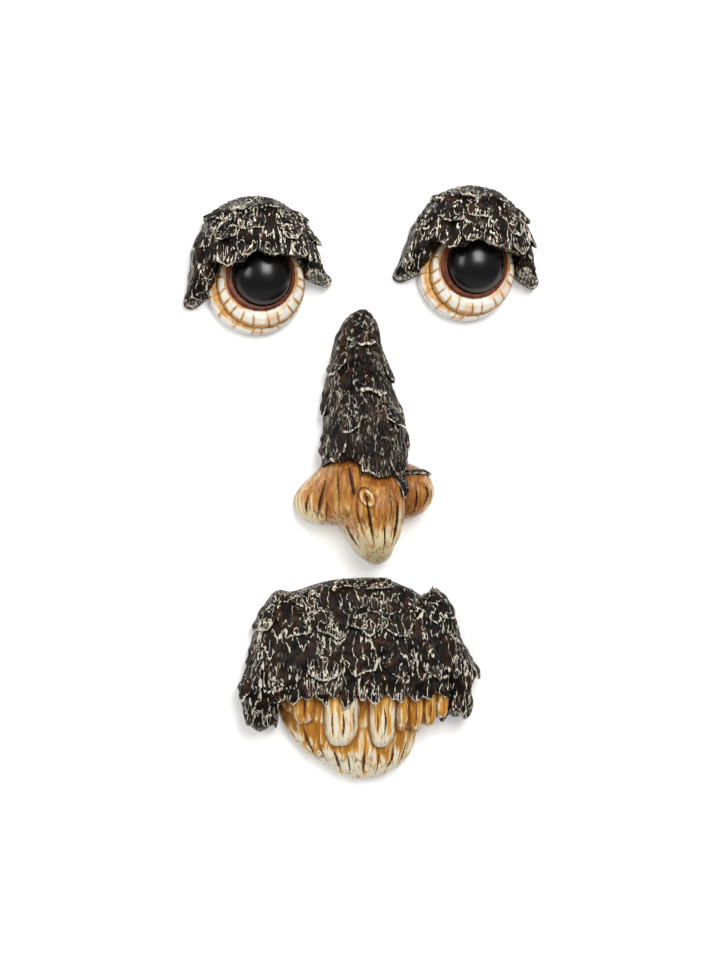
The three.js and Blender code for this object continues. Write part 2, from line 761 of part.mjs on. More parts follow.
const smallTooth = tooth(-28.5, -19, -1, -22, 0.76);
const leftFrontTooth = tooth(-15.7, -1.4, -2, -31.3, 0.88);
const rightFrontTooth = tooth(2.8, 13.6, -2, -32.5, 0.88);
const frontTeeth = [leftFrontTooth, rightFrontTooth];
const sideTeeth = [
  smallTooth,
  tooth(13.2, 19.2, -1, -26.5, 0.77),
  tooth(18.9, 25.4, -1, -27, 0.75),
  tooth(25.1, 30.6, -1, -25, 0.73),
  tooth(30.3, 36, -1, -21.5, 0.71),
];

const MOUSTACHE_ROWS = [
  { level: 2, span: [0.21, 0.79], count: 7, width: 14, length: 13, seed: 311 },
  { level: 13, span: [0.07, 0.93], count: 7, width: 17, length: 15, seed: 331, fan: 0.1 },
  { level: 28, span: [0.07, 0.93], count: 6, width: 18, length: 15, seed: 351, fan: 0.2 },
  { level: 36, span: [0.3, 0.7], count: 3, width: 16, length: 12, seed: 371, fan: 0.2 },
];

const LEFT_FALL_ROWS = [
  { level: -9, span: [0.3, 0.6], count: 2, width: 12, length: 15, seed: 391 },
  { level: 5, span: [0.28, 0.62], count: 2, width: 13, length: 15, seed: 401 },
];

const RIGHT_FALL_ROWS = [
  { level: -7, span: [0.45, 0.78], count: 2, width: 12, length: 14, seed: 411 },
  { level: 7, span: [0.45, 0.8], count: 2, width: 12, length: 14, seed: 421 },
];

function mouthSolid() {
  const whole = joined([
    moustacheForm.solid(24, 4).subtract(under(MOUSTACHE_EDGE, mouthUnit, 2 * MOUTH_DEPTH)),
    leftFallForm.solid(14, 3),
    rightFallForm.solid(14, 3),
    lipForm.solid(22, 3),
    gumForm.solid(20, 3),
    ...frontTeeth.map((form) => form.solid(12, 3)),
    ...sideTeeth.map((form) => form.solid(8, 3)),
    ...barkRows(moustacheForm, MOUSTACHE_ROWS),
    ...barkRows(leftFallForm, LEFT_FALL_ROWS),
    ...barkRows(rightFallForm, RIGHT_FALL_ROWS),
  ]);
  const cracks = [
    groove(smallTooth, [[-24, -9], [-23.5, -14], [-24, -19]], 2, 1.4),
    groove(leftFrontTooth, [[-9, -13], [-8, -21], [-9, -29]], 2, 1.6),
    groove(rightFrontTooth, [[8, -13], [9, -20], [8, -29]], 2, 1.6),
    groove(lipForm, [[-24, -22], [-22, -29], [-18, -37]], 2.6, 1.8),
    groove(lipForm, [[-12, -31], [-10, -37], [-8, -43]], 2.6, 1.8),
    groove(lipForm, [[1, -32], [1, -38], [1, -45]], 2.6, 1.8),
    groove(lipForm, [[13, -32], [13, -37], [11, -43]], 2.6, 1.8),
  ];
  return cut(flatBacked(whole), [...cracks, keyhole([0, KEYHOLE_ABOVE_MOUNT])]);
}

// The four castings and the two pupils in their places

const resin = new THREE.MeshStandardMaterial({ color: 0x4a3a2c, roughness: 0.6, metalness: 0 });
const woodResin = new THREE.MeshStandardMaterial({ color: 0x8a6238, roughness: 0.6, metalness: 0 });
const barkResin = new THREE.MeshStandardMaterial({ color: 0x3a2c22, roughness: 0.55, metalness: 0 });
const polished = new THREE.MeshStandardMaterial({ color: 0x050505, roughness: 0.08, metalness: 0 });

const noseTop = 46.5 * noseUnit;
const noseFoot = 52.4 * noseUnit;
const mouthTop = 37 * mouthUnit;
const eyeInnerReach = 46 * eyeUnit;

const eyes = [
  {
    side: "left",
    across: -(LEFT_EYE_TO_NOSE_LINE + eyeInnerReach),
    up: noseTop + EYE_ABOVE_NOSE,
    turn: 0,
  },
  {
    side: "right",
    across: RIGHT_EYE_TO_NOSE_LINE + eyeInnerReach,
    up: noseTop + EYE_ABOVE_NOSE + RIGHT_EYE_RAISED,
    turn: RIGHT_EYE_TURN,
  },
];

const face = new THREE.Group();
for (const { side, across, up, turn } of eyes) {
  const eye = new THREE.Group();
  eye.position.set(across, 0, up);
  eye.rotation.y = turn;
  eye.add(meshOf(eyeSolid(), `${side}_eye_casting`, resin));
  eye.add(meshOf(pupilSolid(0), `${side}_pupil`, polished));
  face.add(eye);
}

const nose = meshOf(noseSolid(), "nose_casting", woodResin);
face.add(nose);

const mouth = meshOf(mouthSolid(), "mouth_casting", barkResin);
mouth.position.set(MOUTH_SHIFT, 0, -(noseFoot + NOSE_TO_MOUTH + mouthTop));
face.add(mouth);

export default face;
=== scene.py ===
# %% [markdown]
# # A tree face in painted resin
# Two eyes, a nose and a mouth hang side by side on a trunk. Each is one casting in resin with a flat back,
# moulded as shaggy bark over smooth wood, painted dark, then brushed with nearly dry cream paint that only
# catches on what stands out. This lesson builds the castings round a fixed CAD frame, in the frame's own
# places and in metres.

import math

import bpy
import numpy as np
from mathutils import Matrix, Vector


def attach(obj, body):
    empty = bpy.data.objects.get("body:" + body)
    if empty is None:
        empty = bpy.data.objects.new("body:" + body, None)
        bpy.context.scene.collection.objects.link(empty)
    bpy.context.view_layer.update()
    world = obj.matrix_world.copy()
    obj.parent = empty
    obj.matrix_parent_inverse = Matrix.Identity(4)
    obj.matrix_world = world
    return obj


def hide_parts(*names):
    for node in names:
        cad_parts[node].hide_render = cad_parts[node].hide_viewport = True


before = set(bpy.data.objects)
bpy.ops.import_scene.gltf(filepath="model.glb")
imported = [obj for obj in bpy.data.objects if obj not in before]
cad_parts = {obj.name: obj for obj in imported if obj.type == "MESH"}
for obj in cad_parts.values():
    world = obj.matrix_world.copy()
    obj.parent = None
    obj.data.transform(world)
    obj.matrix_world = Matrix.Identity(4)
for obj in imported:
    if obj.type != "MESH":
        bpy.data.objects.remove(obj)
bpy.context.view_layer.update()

# %% [markdown]
# ## Sizes
# The frame's solids carry the true sizes. The same sizes are repeated here by name, in millimetres, because
# each casting is made again with finer bark. Inside a casting a place is given in hundredths of its own size,
# so one table of places follows the casting when its size changes.

# %% Sizes
MM = 0.001
EYE_WIDTH = 90
EYE_DEPTH = 36
NOSE_HEIGHT = 154
NOSE_DEPTH = 44
MOUTH_WIDTH = 146
MOUTH_DEPTH = 31

LEFT_EYE_TO_NOSE_LINE = 17.5
RIGHT_EYE_TO_NOSE_LINE = 25.5
EYE_ABOVE_NOSE = 18
RIGHT_EYE_RAISED = 8
RIGHT_EYE_TURN = math.radians(12)
NOSE_TO_MOUTH = 7
MOUTH_SHIFT = -1.3

PUPIL_DIAMETER = 34
PUPIL_DOME = 12
PUPIL_RIM = 3
PUPIL_BASE = 12
PUPIL_CLEARANCE = 0.3
IRIS_RING_WIDTH = 3.2
IRIS_RING_SHIFT = -1

KEYHOLE_ENTRY_DIAMETER = 9
KEYHOLE_SLOT_WIDTH = 4.4
KEYHOLE_RUN = 9
KEYHOLE_DEPTH = 6
KEYHOLE_LIP = 2
KEYHOLE_ABOVE_MOUNT = 12
EYE_KEYHOLE_ABOVE_MIDDLE = 8

BARK_THICKNESS = 3.2
BARK_ROOT_DEPTH = 3
BEHIND_BACK = 3

EYE_UNIT, NOSE_UNIT, MOUTH_UNIT = EYE_WIDTH / 100, NOSE_HEIGHT / 100, MOUTH_WIDTH / 100
print("A hundredth of the eye, the nose and the mouth in millimetres:", EYE_UNIT, NOSE_UNIT, MOUTH_UNIT)

# %% [markdown]
# ## Camera
# The photograph looks at the face almost straight on, a little from the viewer's left and from just above.
# A camera 0.8 m away with a 50 mm lens on a 36 mm frame, measured along the picture's tall side, shows a
# millimetre of the nose as 1.7 pixels, as the photograph does.

# %% Camera
AZIMUTH, ELEVATION, DISTANCE = -7.5, 4, 0.8
LENS, SENSOR = 50, 36
TARGET = Vector((0, 0, -0.03))


def aimed_at_target(name, data, azimuth, elevation, distance):
    """A camera or a light at target + distance * (sin a cos e, -cos a cos e, sin e), facing the target."""
    a, e = math.radians(azimuth), math.radians(elevation)
    away = Vector((math.sin(a) * math.cos(e), -math.cos(a) * math.cos(e), math.sin(e)))
    aimed = bpy.data.objects.new(name, data)
    aimed.location = TARGET + away * distance
    aimed.rotation_euler = (-away).to_track_quat("-Z", "Y").to_euler()
    bpy.context.collection.objects.link(aimed)
    return aimed


camera_data = bpy.data.cameras.new("camera")
camera_data.lens = LENS
camera_data.sensor_width = SENSOR
camera = aimed_at_target("camera", camera_data, AZIMUTH, ELEVATION, DISTANCE)
bpy.context.scene.camera = camera
print("Camera at", [round(v, 3) for v in camera.location])

# %% [markdown]
# ## Numbers that look random
# No two plates of bark are alike, yet the script has to give the same face each time. A sine of a large
# number, with its whole part thrown away, gives a repeatable number from 0 to 1 for each seed. A mean of
# sine waves in eight directions gives a smooth random surface.

# %% Repeatable variety


def chance(seed):
    """The part after the point of sin(seed * 12.9898 + 4.1414) * 43758.5453."""
    wave = np.sin(np.asarray(seed, float) * 12.9898 + 4.1414) * 43758.5453
    return wave - np.floor(wave)


def mix(start, end, share):
    """start + (end - start) * share."""
    return start + (end - start) * share


def ease(low, high, value):
    """0 below low, 1 above high, and 3t^2 - 2t^3 between them."""
    t = np.clip((value - low) / (high - low), 0, 1)
    return t * t * (3 - 2 * t)


def ripple(points, size, seed):
    """A smooth random value from about -1 to 1: the mean of eight sine waves in eight directions, doubled."""
    waves = 8
    total = np.zeros(points.shape[:-1])
    for i in range(waves):
        turn, tilt, phase = 2 * math.pi * chance(seed + 10 * i + np.arange(3))
        level = math.cos(tilt)
        direction = np.array([math.cos(turn) * level, math.sin(turn) * level, math.sin(tilt)])
        pace = 2 * math.pi / size * (0.7 + 0.6 * chance(seed + 10 * i + 5))
        total += np.sin(points @ direction * pace + phase)
    return 2 * total / waves


def fibres(across, along, pitch, seed):
    """Rounded ridges with sharp valleys: |sin| of the place across, which wanders along the ridge, times a
    height that rises and falls along it."""
    phase = 2 * math.pi * chance(seed + np.arange(5))
    wander = 0.5 * np.sin(along / (3.1 * pitch) + phase[0]) + 0.28 * np.sin(along / (1.2 * pitch) + phase[1])
    wander += 0.3 * np.sin(across / (2.3 * pitch) + along / (4 * pitch) + phase[2])
    tall = 0.75 + 0.25 * np.sin(along / (1.6 * pitch) + 2.1 * across / pitch + phase[3])
    return tall * np.abs(np.sin(math.pi * (across / pitch + wander)))


print("Chances for seeds 1 to 4:", chance(np.arange(1, 5)).round(2))

# %% [markdown]
# ## Swelling forms
# A lump on a flat back could be sculpted by hand or built from a subdivided cage. Here it is a formula, so
# that bark can be laid on it exactly: the further a place is from the middle, the lower the surface, and a
# single number sets how full the shoulder is. The rim is a smooth closed curve through a few points.

# %% Curves


def spline(points, count, closed):
    """A curve through the points: each stretch is the cubic whose end slopes are half the step between the
    points on either side."""
    points = np.asarray(points, float)
    last = len(points) if closed else len(points) - 1
    t = np.linspace(0, last, count, endpoint=not closed)
    start = np.minimum(np.floor(t).astype(int), last - 1)
    w = (t - start)[:, None]
    if closed:
        a, b, c, d = (points[(start + k) % len(points)] for k in (-1, 0, 1, 2))
    else:
        ends = np.vstack([2 * points[0] - points[1], points, 2 * points[-1] - points[-2]])
        a, b, c, d = (ends[start + k] for k in (0, 1, 2, 3))
    slope_b, slope_c = (c - a) / 2, (d - b) / 2
    cube = 2 * b - 2 * c + slope_b + slope_c
    square = -3 * b + 3 * c - 2 * slope_b - slope_c
    return cube * w**3 + square * w**2 + slope_b * w + b


def even_steps(path, count):
    """Points at even distances along a path."""
    lengths = np.r_[0, np.cumsum(np.linalg.norm(np.diff(path, axis=0), axis=1))]
    goals = np.linspace(0, lengths[-1], count)
    return np.stack([np.interp(goals, lengths, path[:, k]) for k in range(path.shape[1])], axis=1)


corners = np.array([[-1, -1], [1, -1], [1, 1], [-1, 1]])
print("A closed curve through a square bulges to", spline(corners, 16, closed=True).max().round(3))

# %% [markdown]
# The form knows three things about itself: whether a place is inside it, which place on it is nearest, and
# where a level line runs round it. That is all that the bark and the cracks need.

# %% Swelling forms
RIM_STEPS = 960


def place(across, up, height):
    """A point from its place across and up and its height above the back: (across, -height, up)."""
    return np.stack(np.broadcast_arrays(across, -np.asarray(height, float), up), axis=-1)


class Swelling:
    """(distance from the centre / distance to the rim) ^ fullness + (height / depth) ^ fullness = 1."""

    def __init__(self, unit, centre, rim, depth, fullness=2.2):
        self.unit = unit
        self.centre = np.array(centre, float) * unit
        self.depth = depth
        self.fullness = fullness
        self.rim = spline(np.array(rim) * unit, RIM_STEPS, closed=True)
        away = self.rim - self.centre
        angle = np.arctan2(away[:, 1], away[:, 0])
        order = np.argsort(angle)
        self.angles, self.reaches = angle[order], np.hypot(away[:, 0], away[:, 1])[order]

    def reach(self, angle):
        """Distance from the centre to the rim along a bearing."""
        return np.interp(angle, self.angles, self.reaches, period=2 * math.pi)

    def depth_at(self, across, up):
        """The depth at a place, which is one number or a function of the place in hundredths."""
        if callable(self.depth):
            return self.depth(across / self.unit, up / self.unit)
        return np.full(np.shape(across), float(self.depth))

    def outside(self, points):
        """Above 0 outside the form and below 0 inside it."""
        across, up = points[..., 0] - self.centre[0], points[..., 2] - self.centre[1]
        spread = np.hypot(across, up) / self.reach(np.arctan2(up, across))
        rise = np.abs(points[..., 1]) / self.depth_at(points[..., 0], points[..., 2])
        return spread**self.fullness + rise**self.fullness - 1

    def slope(self, points):
        """How fast that value grows along X, Y and Z."""
        step = 0.05
        shifts = np.eye(3) * step
        return np.stack(
            [(self.outside(points + s) - self.outside(points - s)) / (2 * step) for s in shifts], axis=-1
        )

    def nearest(self, points):
        """The surface's nearest places, by four corrections along the slope, and the directions out there."""
        corrections = 4
        for _ in range(corrections):
            slope = self.slope(points)
            points = points - slope * (self.outside(points) / np.sum(slope**2, axis=-1))[..., None]
        slope = self.slope(points)
        return points, slope / np.linalg.norm(slope, axis=-1, keepdims=True)

    def around(self, angles, level_at):
        """The surface at a level, seen at angles from straight ahead, found by halving."""
        rounds, halvings, beyond = 3, 20, 3
        across = np.full(len(angles), self.centre[0])
        for _ in range(rounds):
            level = level_at(across)
            near = np.zeros(len(angles))
            far = beyond * self.reach(0) + self.depth_at(np.full(len(angles), self.centre[0]), level)
            for _ in range(halvings):
                middle = (near + far) / 2
                points = place(self.centre[0] + middle * np.sin(angles), level, middle * np.cos(angles))
                out = self.outside(points) > 0
                far, near = np.where(out, middle, far), np.where(out, near, middle)
            across = points[:, 0]
        return points

    def row(self, level_at, start, end, count):
        """Places at even steps along the surface at a level, from one share of the way round to another."""
        steps = 40
        path = self.around((np.arange(steps + 1) / steps - 0.5) * math.pi, level_at)
        lengths = np.r_[0, np.cumsum(np.linalg.norm(np.diff(path, axis=0), axis=1))]
        shares = np.linspace(start, end, count) if count > 1 else np.array([(start + end) / 2])
        return np.stack([np.interp(shares * lengths[-1], lengths, path[:, k]) for k in range(3)], axis=1)


button = Swelling(1, [0, 0], [[-5, 0], [0, 5], [5, 0], [0, -5]], 4)
print("A button 4 mm thick reaches", button.reach(0), "mm from its middle")

# %% [markdown]
# ## Closed shells
# A casting is many shells that run into each other: the lump itself, every plate of bark, every tooth. Each
# shell is a grid of points computed at once, closed at both ends, and carries a few painted values with it:
# how much it is wood, socket or iris, how near it is to the rim of a plate, how pale the wood is, and where
# brown paint lies in a line.

# %% Shells
PAINTS = ("wood", "socket", "iris", "rim", "pale", "line")
PROFILE_STEPS = 400
RELIEF_FADE = 2


def grid_triangles(rings, sides):
    """Two triangles for each square of a grid that closes on itself sideways."""
    a = (np.arange(rings - 1)[:, None] * sides + np.arange(sides)).ravel()
    b = (np.arange(rings - 1)[:, None] * sides + (np.arange(sides) + 1) % sides).ravel()
    return np.concatenate([np.stack([a, b, b + sides], 1), np.stack([a, b + sides, a + sides], 1)])


def closed_shell(rings, **paints):
    """Rings of points joined one after the other, each end closed by a fan about the ring's middle. Paints
    are numbers, or one value for each point of the rings."""
    count, sides = rings.shape[:2]
    points = np.concatenate([rings.reshape(-1, 3), rings[0].mean(0)[None], rings[-1].mean(0)[None]])
    side = np.arange(sides)
    following = (side + 1) % sides
    last = (count - 1) * sides
    triangles = np.concatenate([
        grid_triangles(count, sides),
        np.stack([following, side, np.full(sides, count * sides)], 1),
        np.stack([last + side, last + following, np.full(sides, count * sides + 1)], 1),
    ])
    a, b, c = (points[triangles[:, k]] for k in range(3))
    if np.sum(a * np.cross(b, c)) < 0:
        triangles = triangles[:, ::-1]
    values = {}
    for name in PAINTS:
        value = np.broadcast_to(np.asarray(paints.get(name, 0.0), float), (count, sides))
        values[name] = np.r_[value.ravel(), value[0].mean(), value[-1].mean()]
    return {"points": points, "triangles": triangles, **values}


def body(form, sides, rings, floor_at=None, relief=None, **paints):
    """The form as a closed shell. Rings rise from behind the back plane to the top at even distances. Relief
    moves the points along the direction out of the surface, and fades out over the last millimetres above
    the back. floor_at lifts what hangs below a line."""
    lift = np.linspace(0, math.pi / 2, PROFILE_STEPS)
    size = np.median(form.reaches)
    profile = np.stack([np.cos(lift), np.sin(lift)], 1).clip(0) ** (2 / form.fullness)
    top = float(np.max(form.depth_at(form.rim[:, 0], form.rim[:, 1])))
    profile = even_steps(profile * [size, top], rings + 1)[:-1] / [size, top]
    rim = even_steps(np.vstack([form.rim, form.rim[:1]]), sides + 1)[:-1]
    across = mix(form.centre[0], rim[None, :, 0], profile[:, :1])
    up = mix(form.centre[1], rim[None, :, 1], profile[:, :1])
    points = place(across, up, form.depth_at(across, up) * profile[:, 1:])
    if relief is not None:
        _, out = form.nearest(points)
        points = points + out * (relief(points) * ease(0, RELIEF_FADE, -points[..., 1]))[..., None]
    points = np.concatenate([place(rim[:, 0], rim[:, 1], -BEHIND_BACK)[None], points])
    if floor_at is not None:
        points[..., 2] = np.maximum(points[..., 2], floor_at(points[..., 0]))
    shell = {name: value(points) if callable(value) else value for name, value in paints.items()}
    return closed_shell(points, **shell)


print("The button as a shell of 12 sides has", len(body(button, 12, 4)["triangles"]), "triangles")

# %% [markdown]
# ## Plates of bark
# Real bark splits into long plates that overlap like thatch. On the casting each plate starts inside the
# form, lifts towards its free end and breaks off raggedly, and fine ridges run down it. A plate is a slab on
# a grid: its place sideways and along is laid on the form, and the lift follows the direction out of it.

# %% Bark plates
PLATE_ROOT_LIFT = -0.2
PLATE_ROOT_WIDTH = 0.8
PLATE_TIP_WIDTH = 0.72
PLATE_BULGE = 0.3
PLATE_TIP_REACH = (0.84, 1.16)
PLATE_CORNER_LOSS = 0.2
PLATE_EDGE_LOSS = 0.35
PLATE_LEAN_SPREAD = 0.3
RIDGE_PITCH = 2.1
RIDGE_HEIGHT = 0.8
RIDGE_MEAN = 0.55
USUAL_BRUSH = 0.5


def bark_plate(form, root, width, length, thickness, fan, brush, seed):
    """place = start + down * length * along * mix(1, reach, along) + side * width / 2 * sideways * taper,
    laid on the form. Lift = thickness * mix(root lift, 1 - edge loss * sideways^2, along) + ridges, which
    shrink towards the root. The end's reach differs across, as broken bark does. The rim paint lies at the
    end, down the sides, and by the share brush on the crests of the ridges near the end."""
    rows, columns = 26, 27
    start, out = form.nearest(root)
    down = np.array([fan + PLATE_LEAN_SPREAD * (chance(seed) - 0.5), 0, -1])
    down = down - out * (down @ out)
    down /= np.linalg.norm(down)
    side = np.cross(out, down)
    along, sideways = np.meshgrid(np.linspace(0, 1, rows), np.linspace(-1, 1, columns), indexing="ij")
    spots = np.linspace(-1, 1, 4)
    ends = mix(*PLATE_TIP_REACH, chance(seed * 7 + np.arange(4))) - PLATE_CORNER_LOSS * spots**2
    reach = np.interp(sideways, spots, ends)
    notch = 0.05 * (fibres(sideways * width / 2, along, 0.8 * RIDGE_PITCH, seed + 3) - 0.6)
    taper = mix(PLATE_ROOT_WIDTH, PLATE_TIP_WIDTH, along) + PLATE_BULGE * along * (1 - along)
    step_down = length * along * mix(1, reach + notch, along)
    spot = start + down * step_down[..., None] + side * (width / 2 * sideways * taper)[..., None]
    on, out = form.nearest(spot)
    pitch = RIDGE_PITCH * mix(0.85, 1.2, chance(seed + 2))
    ridge = fibres(sideways * taper * width / 2, step_down, pitch, seed)
    fade = ease(0.05, 0.35, along)
    lift = thickness * mix(PLATE_ROOT_LIFT, 1 - PLATE_EDGE_LOSS * sideways**2, along)
    lift += RIDGE_HEIGHT * (ridge - RIDGE_MEAN) * fade + 0.5 * ripple(on, 8, seed) * fade
    lift -= 0.8 * ease(0.9, 1, along) + 0.7 * ease(0.86, 1, np.abs(sideways))
    top = on + out * lift[..., None]
    bottom = on - out * BARK_ROOT_DEPTH
    loop = np.concatenate([top, bottom[:, ::-1]], axis=1)
    beside = ease(0.84, 0.96, np.abs(sideways)) * ease(0.2, 0.4, along)
    strands = brush * ease(0.4, 0.85, along) * ease(0.62, 0.82, ridge)
    rim = np.maximum(np.maximum(beside, ease(0.88, 0.97, along)), strands)
    return closed_shell(loop, rim=np.concatenate([rim, 0.5 * ease(0.9, 1, along[:, ::-1])], axis=1))


def bark_rows(form, rows):
    """Plates side by side along each row, with the width, length, thickness and root of each a little
    different."""
    plates = []
    for row in rows:
        unit, level, seed = form.unit, row["level"], row["seed"]

        def level_at(across):
            """The row's level, which is one number or a function of the place across in hundredths."""
            return (level(across / unit) if callable(level) else level + 0 * across) * unit

        for i, root in enumerate(form.row(level_at, *row["span"], row["count"])):
            root[2] += 0.14 * row["length"] * (chance(seed + 31 * i) - 0.5) * unit
            plates.append(bark_plate(
                form,
                root,
                width=row["width"] * unit * mix(0.9, 1.15, chance(seed + 17 * i)),
                length=row["length"] * unit * mix(0.88, 1.18, chance(seed + 5 * i)),
                thickness=BARK_THICKNESS * mix(0.8, 1.2, chance(seed + 3 * i)),
                fan=row.get("fan", 0) * (root[0] - form.centre[0]) / form.reach(0),
                brush=row.get("brush", USUAL_BRUSH),
                seed=seed + i,
            ))
    return plates


def rough_bark(seed):
    """Relief of bark where no plate covers it: ridges that run down, and slow lumps."""

    def relief(points):
        ridge = fibres(points[..., 0] + 0.6 * ripple(points, 14, seed), points[..., 2], RIDGE_PITCH, seed)
        return RIDGE_HEIGHT * (ridge - RIDGE_MEAN) + 0.6 * ripple(points, 11, seed + 1)

    return relief


print(f"Ridges are {RIDGE_PITCH} mm apart and {RIDGE_HEIGHT} mm tall")

# %% [markdown]
# ## Cracks in the wood
# Weathered wood opens in long tapered cracks. Each is a line on the form with a width and a depth, and the
# surface under it is pushed in, most at its middle. Between the cracks runs a fine grain.

# %% Wood relief


def crack_cut(points, unit, cracks):
    """How deep the cracks cut at each point: depth * (1 - distance / half width), never below 0."""
    cut = np.zeros(points.shape[:-1])
    steps = 48
    swell = np.sin(math.pi * np.linspace(0, 1, steps))
    for line, width, depth in cracks:
        curve = spline(np.array(line) * unit, steps, closed=False)
        away = np.hypot(points[..., None, 0] - curve[:, 0], points[..., None, 2] - curve[:, 1])
        here = depth * mix(0.4, 1, swell) * (1 - away / (width / 2 * mix(0.3, 1, swell)))
        cut = np.maximum(cut, here.clip(0).max(axis=-1))
    return cut


def grained_wood(unit, cracks, seed, pitch=2.2, height=0.3):
    """Relief of wood: fine grain that runs down, slow lumps, and the cracks."""

    def relief(points):
        grain = fibres(points[..., 0] + 1.2 * ripple(points, 16, seed), 0.4 * points[..., 2], pitch, seed)
        lumps = 0.35 * ripple(points, 10, seed + 1)
        return height * (grain - RIDGE_MEAN) + lumps - crack_cut(points, unit, cracks)

    return relief


def crack_paint(unit, cracks):
    """Brown paint along the bottom of each crack, which fades at its ends."""
    shallow = [(line, width, 1) for line, width, _ in cracks]

    def line(points):
        return ease(0.22, 0.55, crack_cut(points, unit, shallow))

    return line


sample_crack = ([[0, -4], [0, 0], [0, 4]], 2, 1.5)
print("A crack cuts", crack_cut(np.zeros((1, 3)), 1, [sample_crack]).round(2), "mm at its middle")

# %% [markdown]
# ## From shells to one casting
# Overlapping shells could be joined by exact booleans, but a voxel remesh does it in a second, rounds the
# sharp joins as a mould does, and keeps the painted values. After it the back is cut flat, and the seat and
# the keyhole are cut out with a boolean, so that the casting keeps the CAD solid's working faces.

# %% Meshes


def mesh_of(name, points, triangles, paints=None):
    """A mesh in millimetres from arrays of points and triangles, with painted values as attributes."""
    mesh = bpy.data.meshes.new(name)
    mesh.vertices.add(len(points))
    mesh.vertices.foreach_set("co", np.ascontiguousarray(points, np.float32).ravel())
    mesh.loops.add(triangles.size)
    mesh.loops.foreach_set("vertex_index", np.ascontiguousarray(triangles, np.int32).ravel())
    mesh.polygons.add(len(triangles))
    mesh.polygons.foreach_set("loop_start", np.arange(0, triangles.size, 3, dtype=np.int32))
    mesh.update(calc_edges=True)
    for paint, values in (paints or {}).items():
        mesh.attributes.new(paint, "FLOAT", "POINT").data.foreach_set("value", values.astype(np.float32))
    return mesh


def shown(name, mesh):
    """An object for a mesh, linked into the scene."""
    obj = bpy.data.objects.new(name, mesh)
    bpy.context.collection.objects.link(obj)
    return obj


def joined_mesh(name, shells):
    """All shells as one mesh, each still closed on its own."""
    starts = np.cumsum([0] + [len(s["points"]) for s in shells[:-1]])
    triangles = np.concatenate([s["triangles"] + start for s, start in zip(shells, starts)])
    points = np.concatenate([s["points"] for s in shells])
    return mesh_of(name, points, triangles, {p: np.concatenate([s[p] for s in shells]) for p in PAINTS})


# %% [markdown]
# What is cut away is a shell too. A keyhole lets a nail's head in at its round entry, and the casting then
# slides down until the narrow slot sits behind the head. The block behind the back makes the back flat.

# %% Cutters
PAST = 1


def prism(outline, low, high):
    """A closed shell straight out from the back over an outline, from one height to another."""
    return closed_shell(np.stack([place(outline[:, 0], outline[:, 1], h) for h in (low, high)]))


def arc(centre, radius, start, end, count=24):
    """Points on a circle: centre + radius * (cos, sin)."""
    angle = np.linspace(start, end, count)
    return np.stack([centre[0] + radius * np.cos(angle), centre[1] + radius * np.sin(angle)], 1)


def keyhole(across, up):
    """A round entry for a nail's head, a narrow slot above it, and a wide pocket behind the slot."""
    entry, half = KEYHOLE_ENTRY_DIAMETER / 2, KEYHOLE_SLOT_WIDTH / 2
    upper = (across, up + KEYHOLE_RUN)
    pocket = np.vstack([arc((across, up), entry, math.pi, 2 * math.pi), arc(upper, entry, 0, math.pi)])
    hole = arc((across, up), entry, 0, 2 * math.pi, 49)[:-1]
    slot = np.vstack([[[across - half, up], [across + half, up]], arc(upper, half, 0, math.pi)])
    return [
        prism(pocket, KEYHOLE_LIP, KEYHOLE_DEPTH),
        prism(hole, -PAST, KEYHOLE_DEPTH),
        prism(slot, -PAST, KEYHOLE_LIP + PAST),
    ]


def back_block():
    """A box that holds all there is behind the flat back."""
    far = 400
    return prism(np.array([[-far, -far], [far, -far], [far, far], [-far, far]]), -far, 0)


# %% [markdown]
# The voxel size decides how fine the skin is, and so how many triangles it takes. It is small enough for
# ridges two millimetres apart. Each casting prints its number of triangles.

# %% Casting
EYE_VOXEL, NOSE_VOXEL, MOUTH_VOXEL = 0.42, 0.48, 0.6


def cast(name, shells, voxel, cutters):
    """One skin round all the shells, by a voxel remesh, then each cutter taken away."""
    obj = shown(name, joined_mesh(name, shells))
    bpy.context.view_layer.objects.active = obj
    obj.data.remesh_voxel_size = voxel
    obj.data.use_remesh_preserve_attributes = True
    bpy.ops.object.voxel_remesh()
    tools = []
    for cutter in [back_block()] + cutters:
        tool = shown(f"{name}_cutter_{len(tools)}", mesh_of("cutter", cutter["points"], cutter["triangles"]))
        cut = obj.modifiers.new("cut", "BOOLEAN")
        cut.operation, cut.solver, cut.object = "DIFFERENCE", "MANIFOLD", tool
        tools.append(tool)
    done = bpy.data.meshes.new_from_object(obj.evaluated_get(bpy.context.evaluated_depsgraph_get()))
    for old in [obj] + tools:
        mesh = old.data
        bpy.data.objects.remove(old)
        bpy.data.meshes.remove(mesh)
    done.calc_loop_triangles()
    print(name, "has", len(done.vertices), "points and", len(done.loop_triangles), "triangles")
    return done


# %% [markdown]
# ## Eyes
# Each eye is one casting: a shaggy lid with two hanging flaps, a pale socket with a notched lip and a notched
# inner ledge, and a smooth ring that holds the pupil. A sculptor would press it in clay. Here the lid and the
# flaps are swelling forms, whose rims follow the outline in the photograph. The lid's front edge is a broken
# line, and three rows of plates hang over it.

# %% Eye forms
LID_EDGE = np.array([[-32, 7], [-24, 10], [-17, 8], [-12, 7.5], [-9, 12], [-7, 16.5], [-3, 14.5], [5, 13.5],
                     [13, 12.5], [20, 12], [27, 11], [31, 9]], float)


def lid_edge(across):
    """Height of the lid's front edge over a place across, in hundredths."""
    return np.interp(across, LID_EDGE[:, 0], LID_EDGE[:, 1])


def crown_level(across):
    """The level of the lid's upper row, which drops away to both sides."""
    return 49 - 0.011 * (across + 3) ** 2


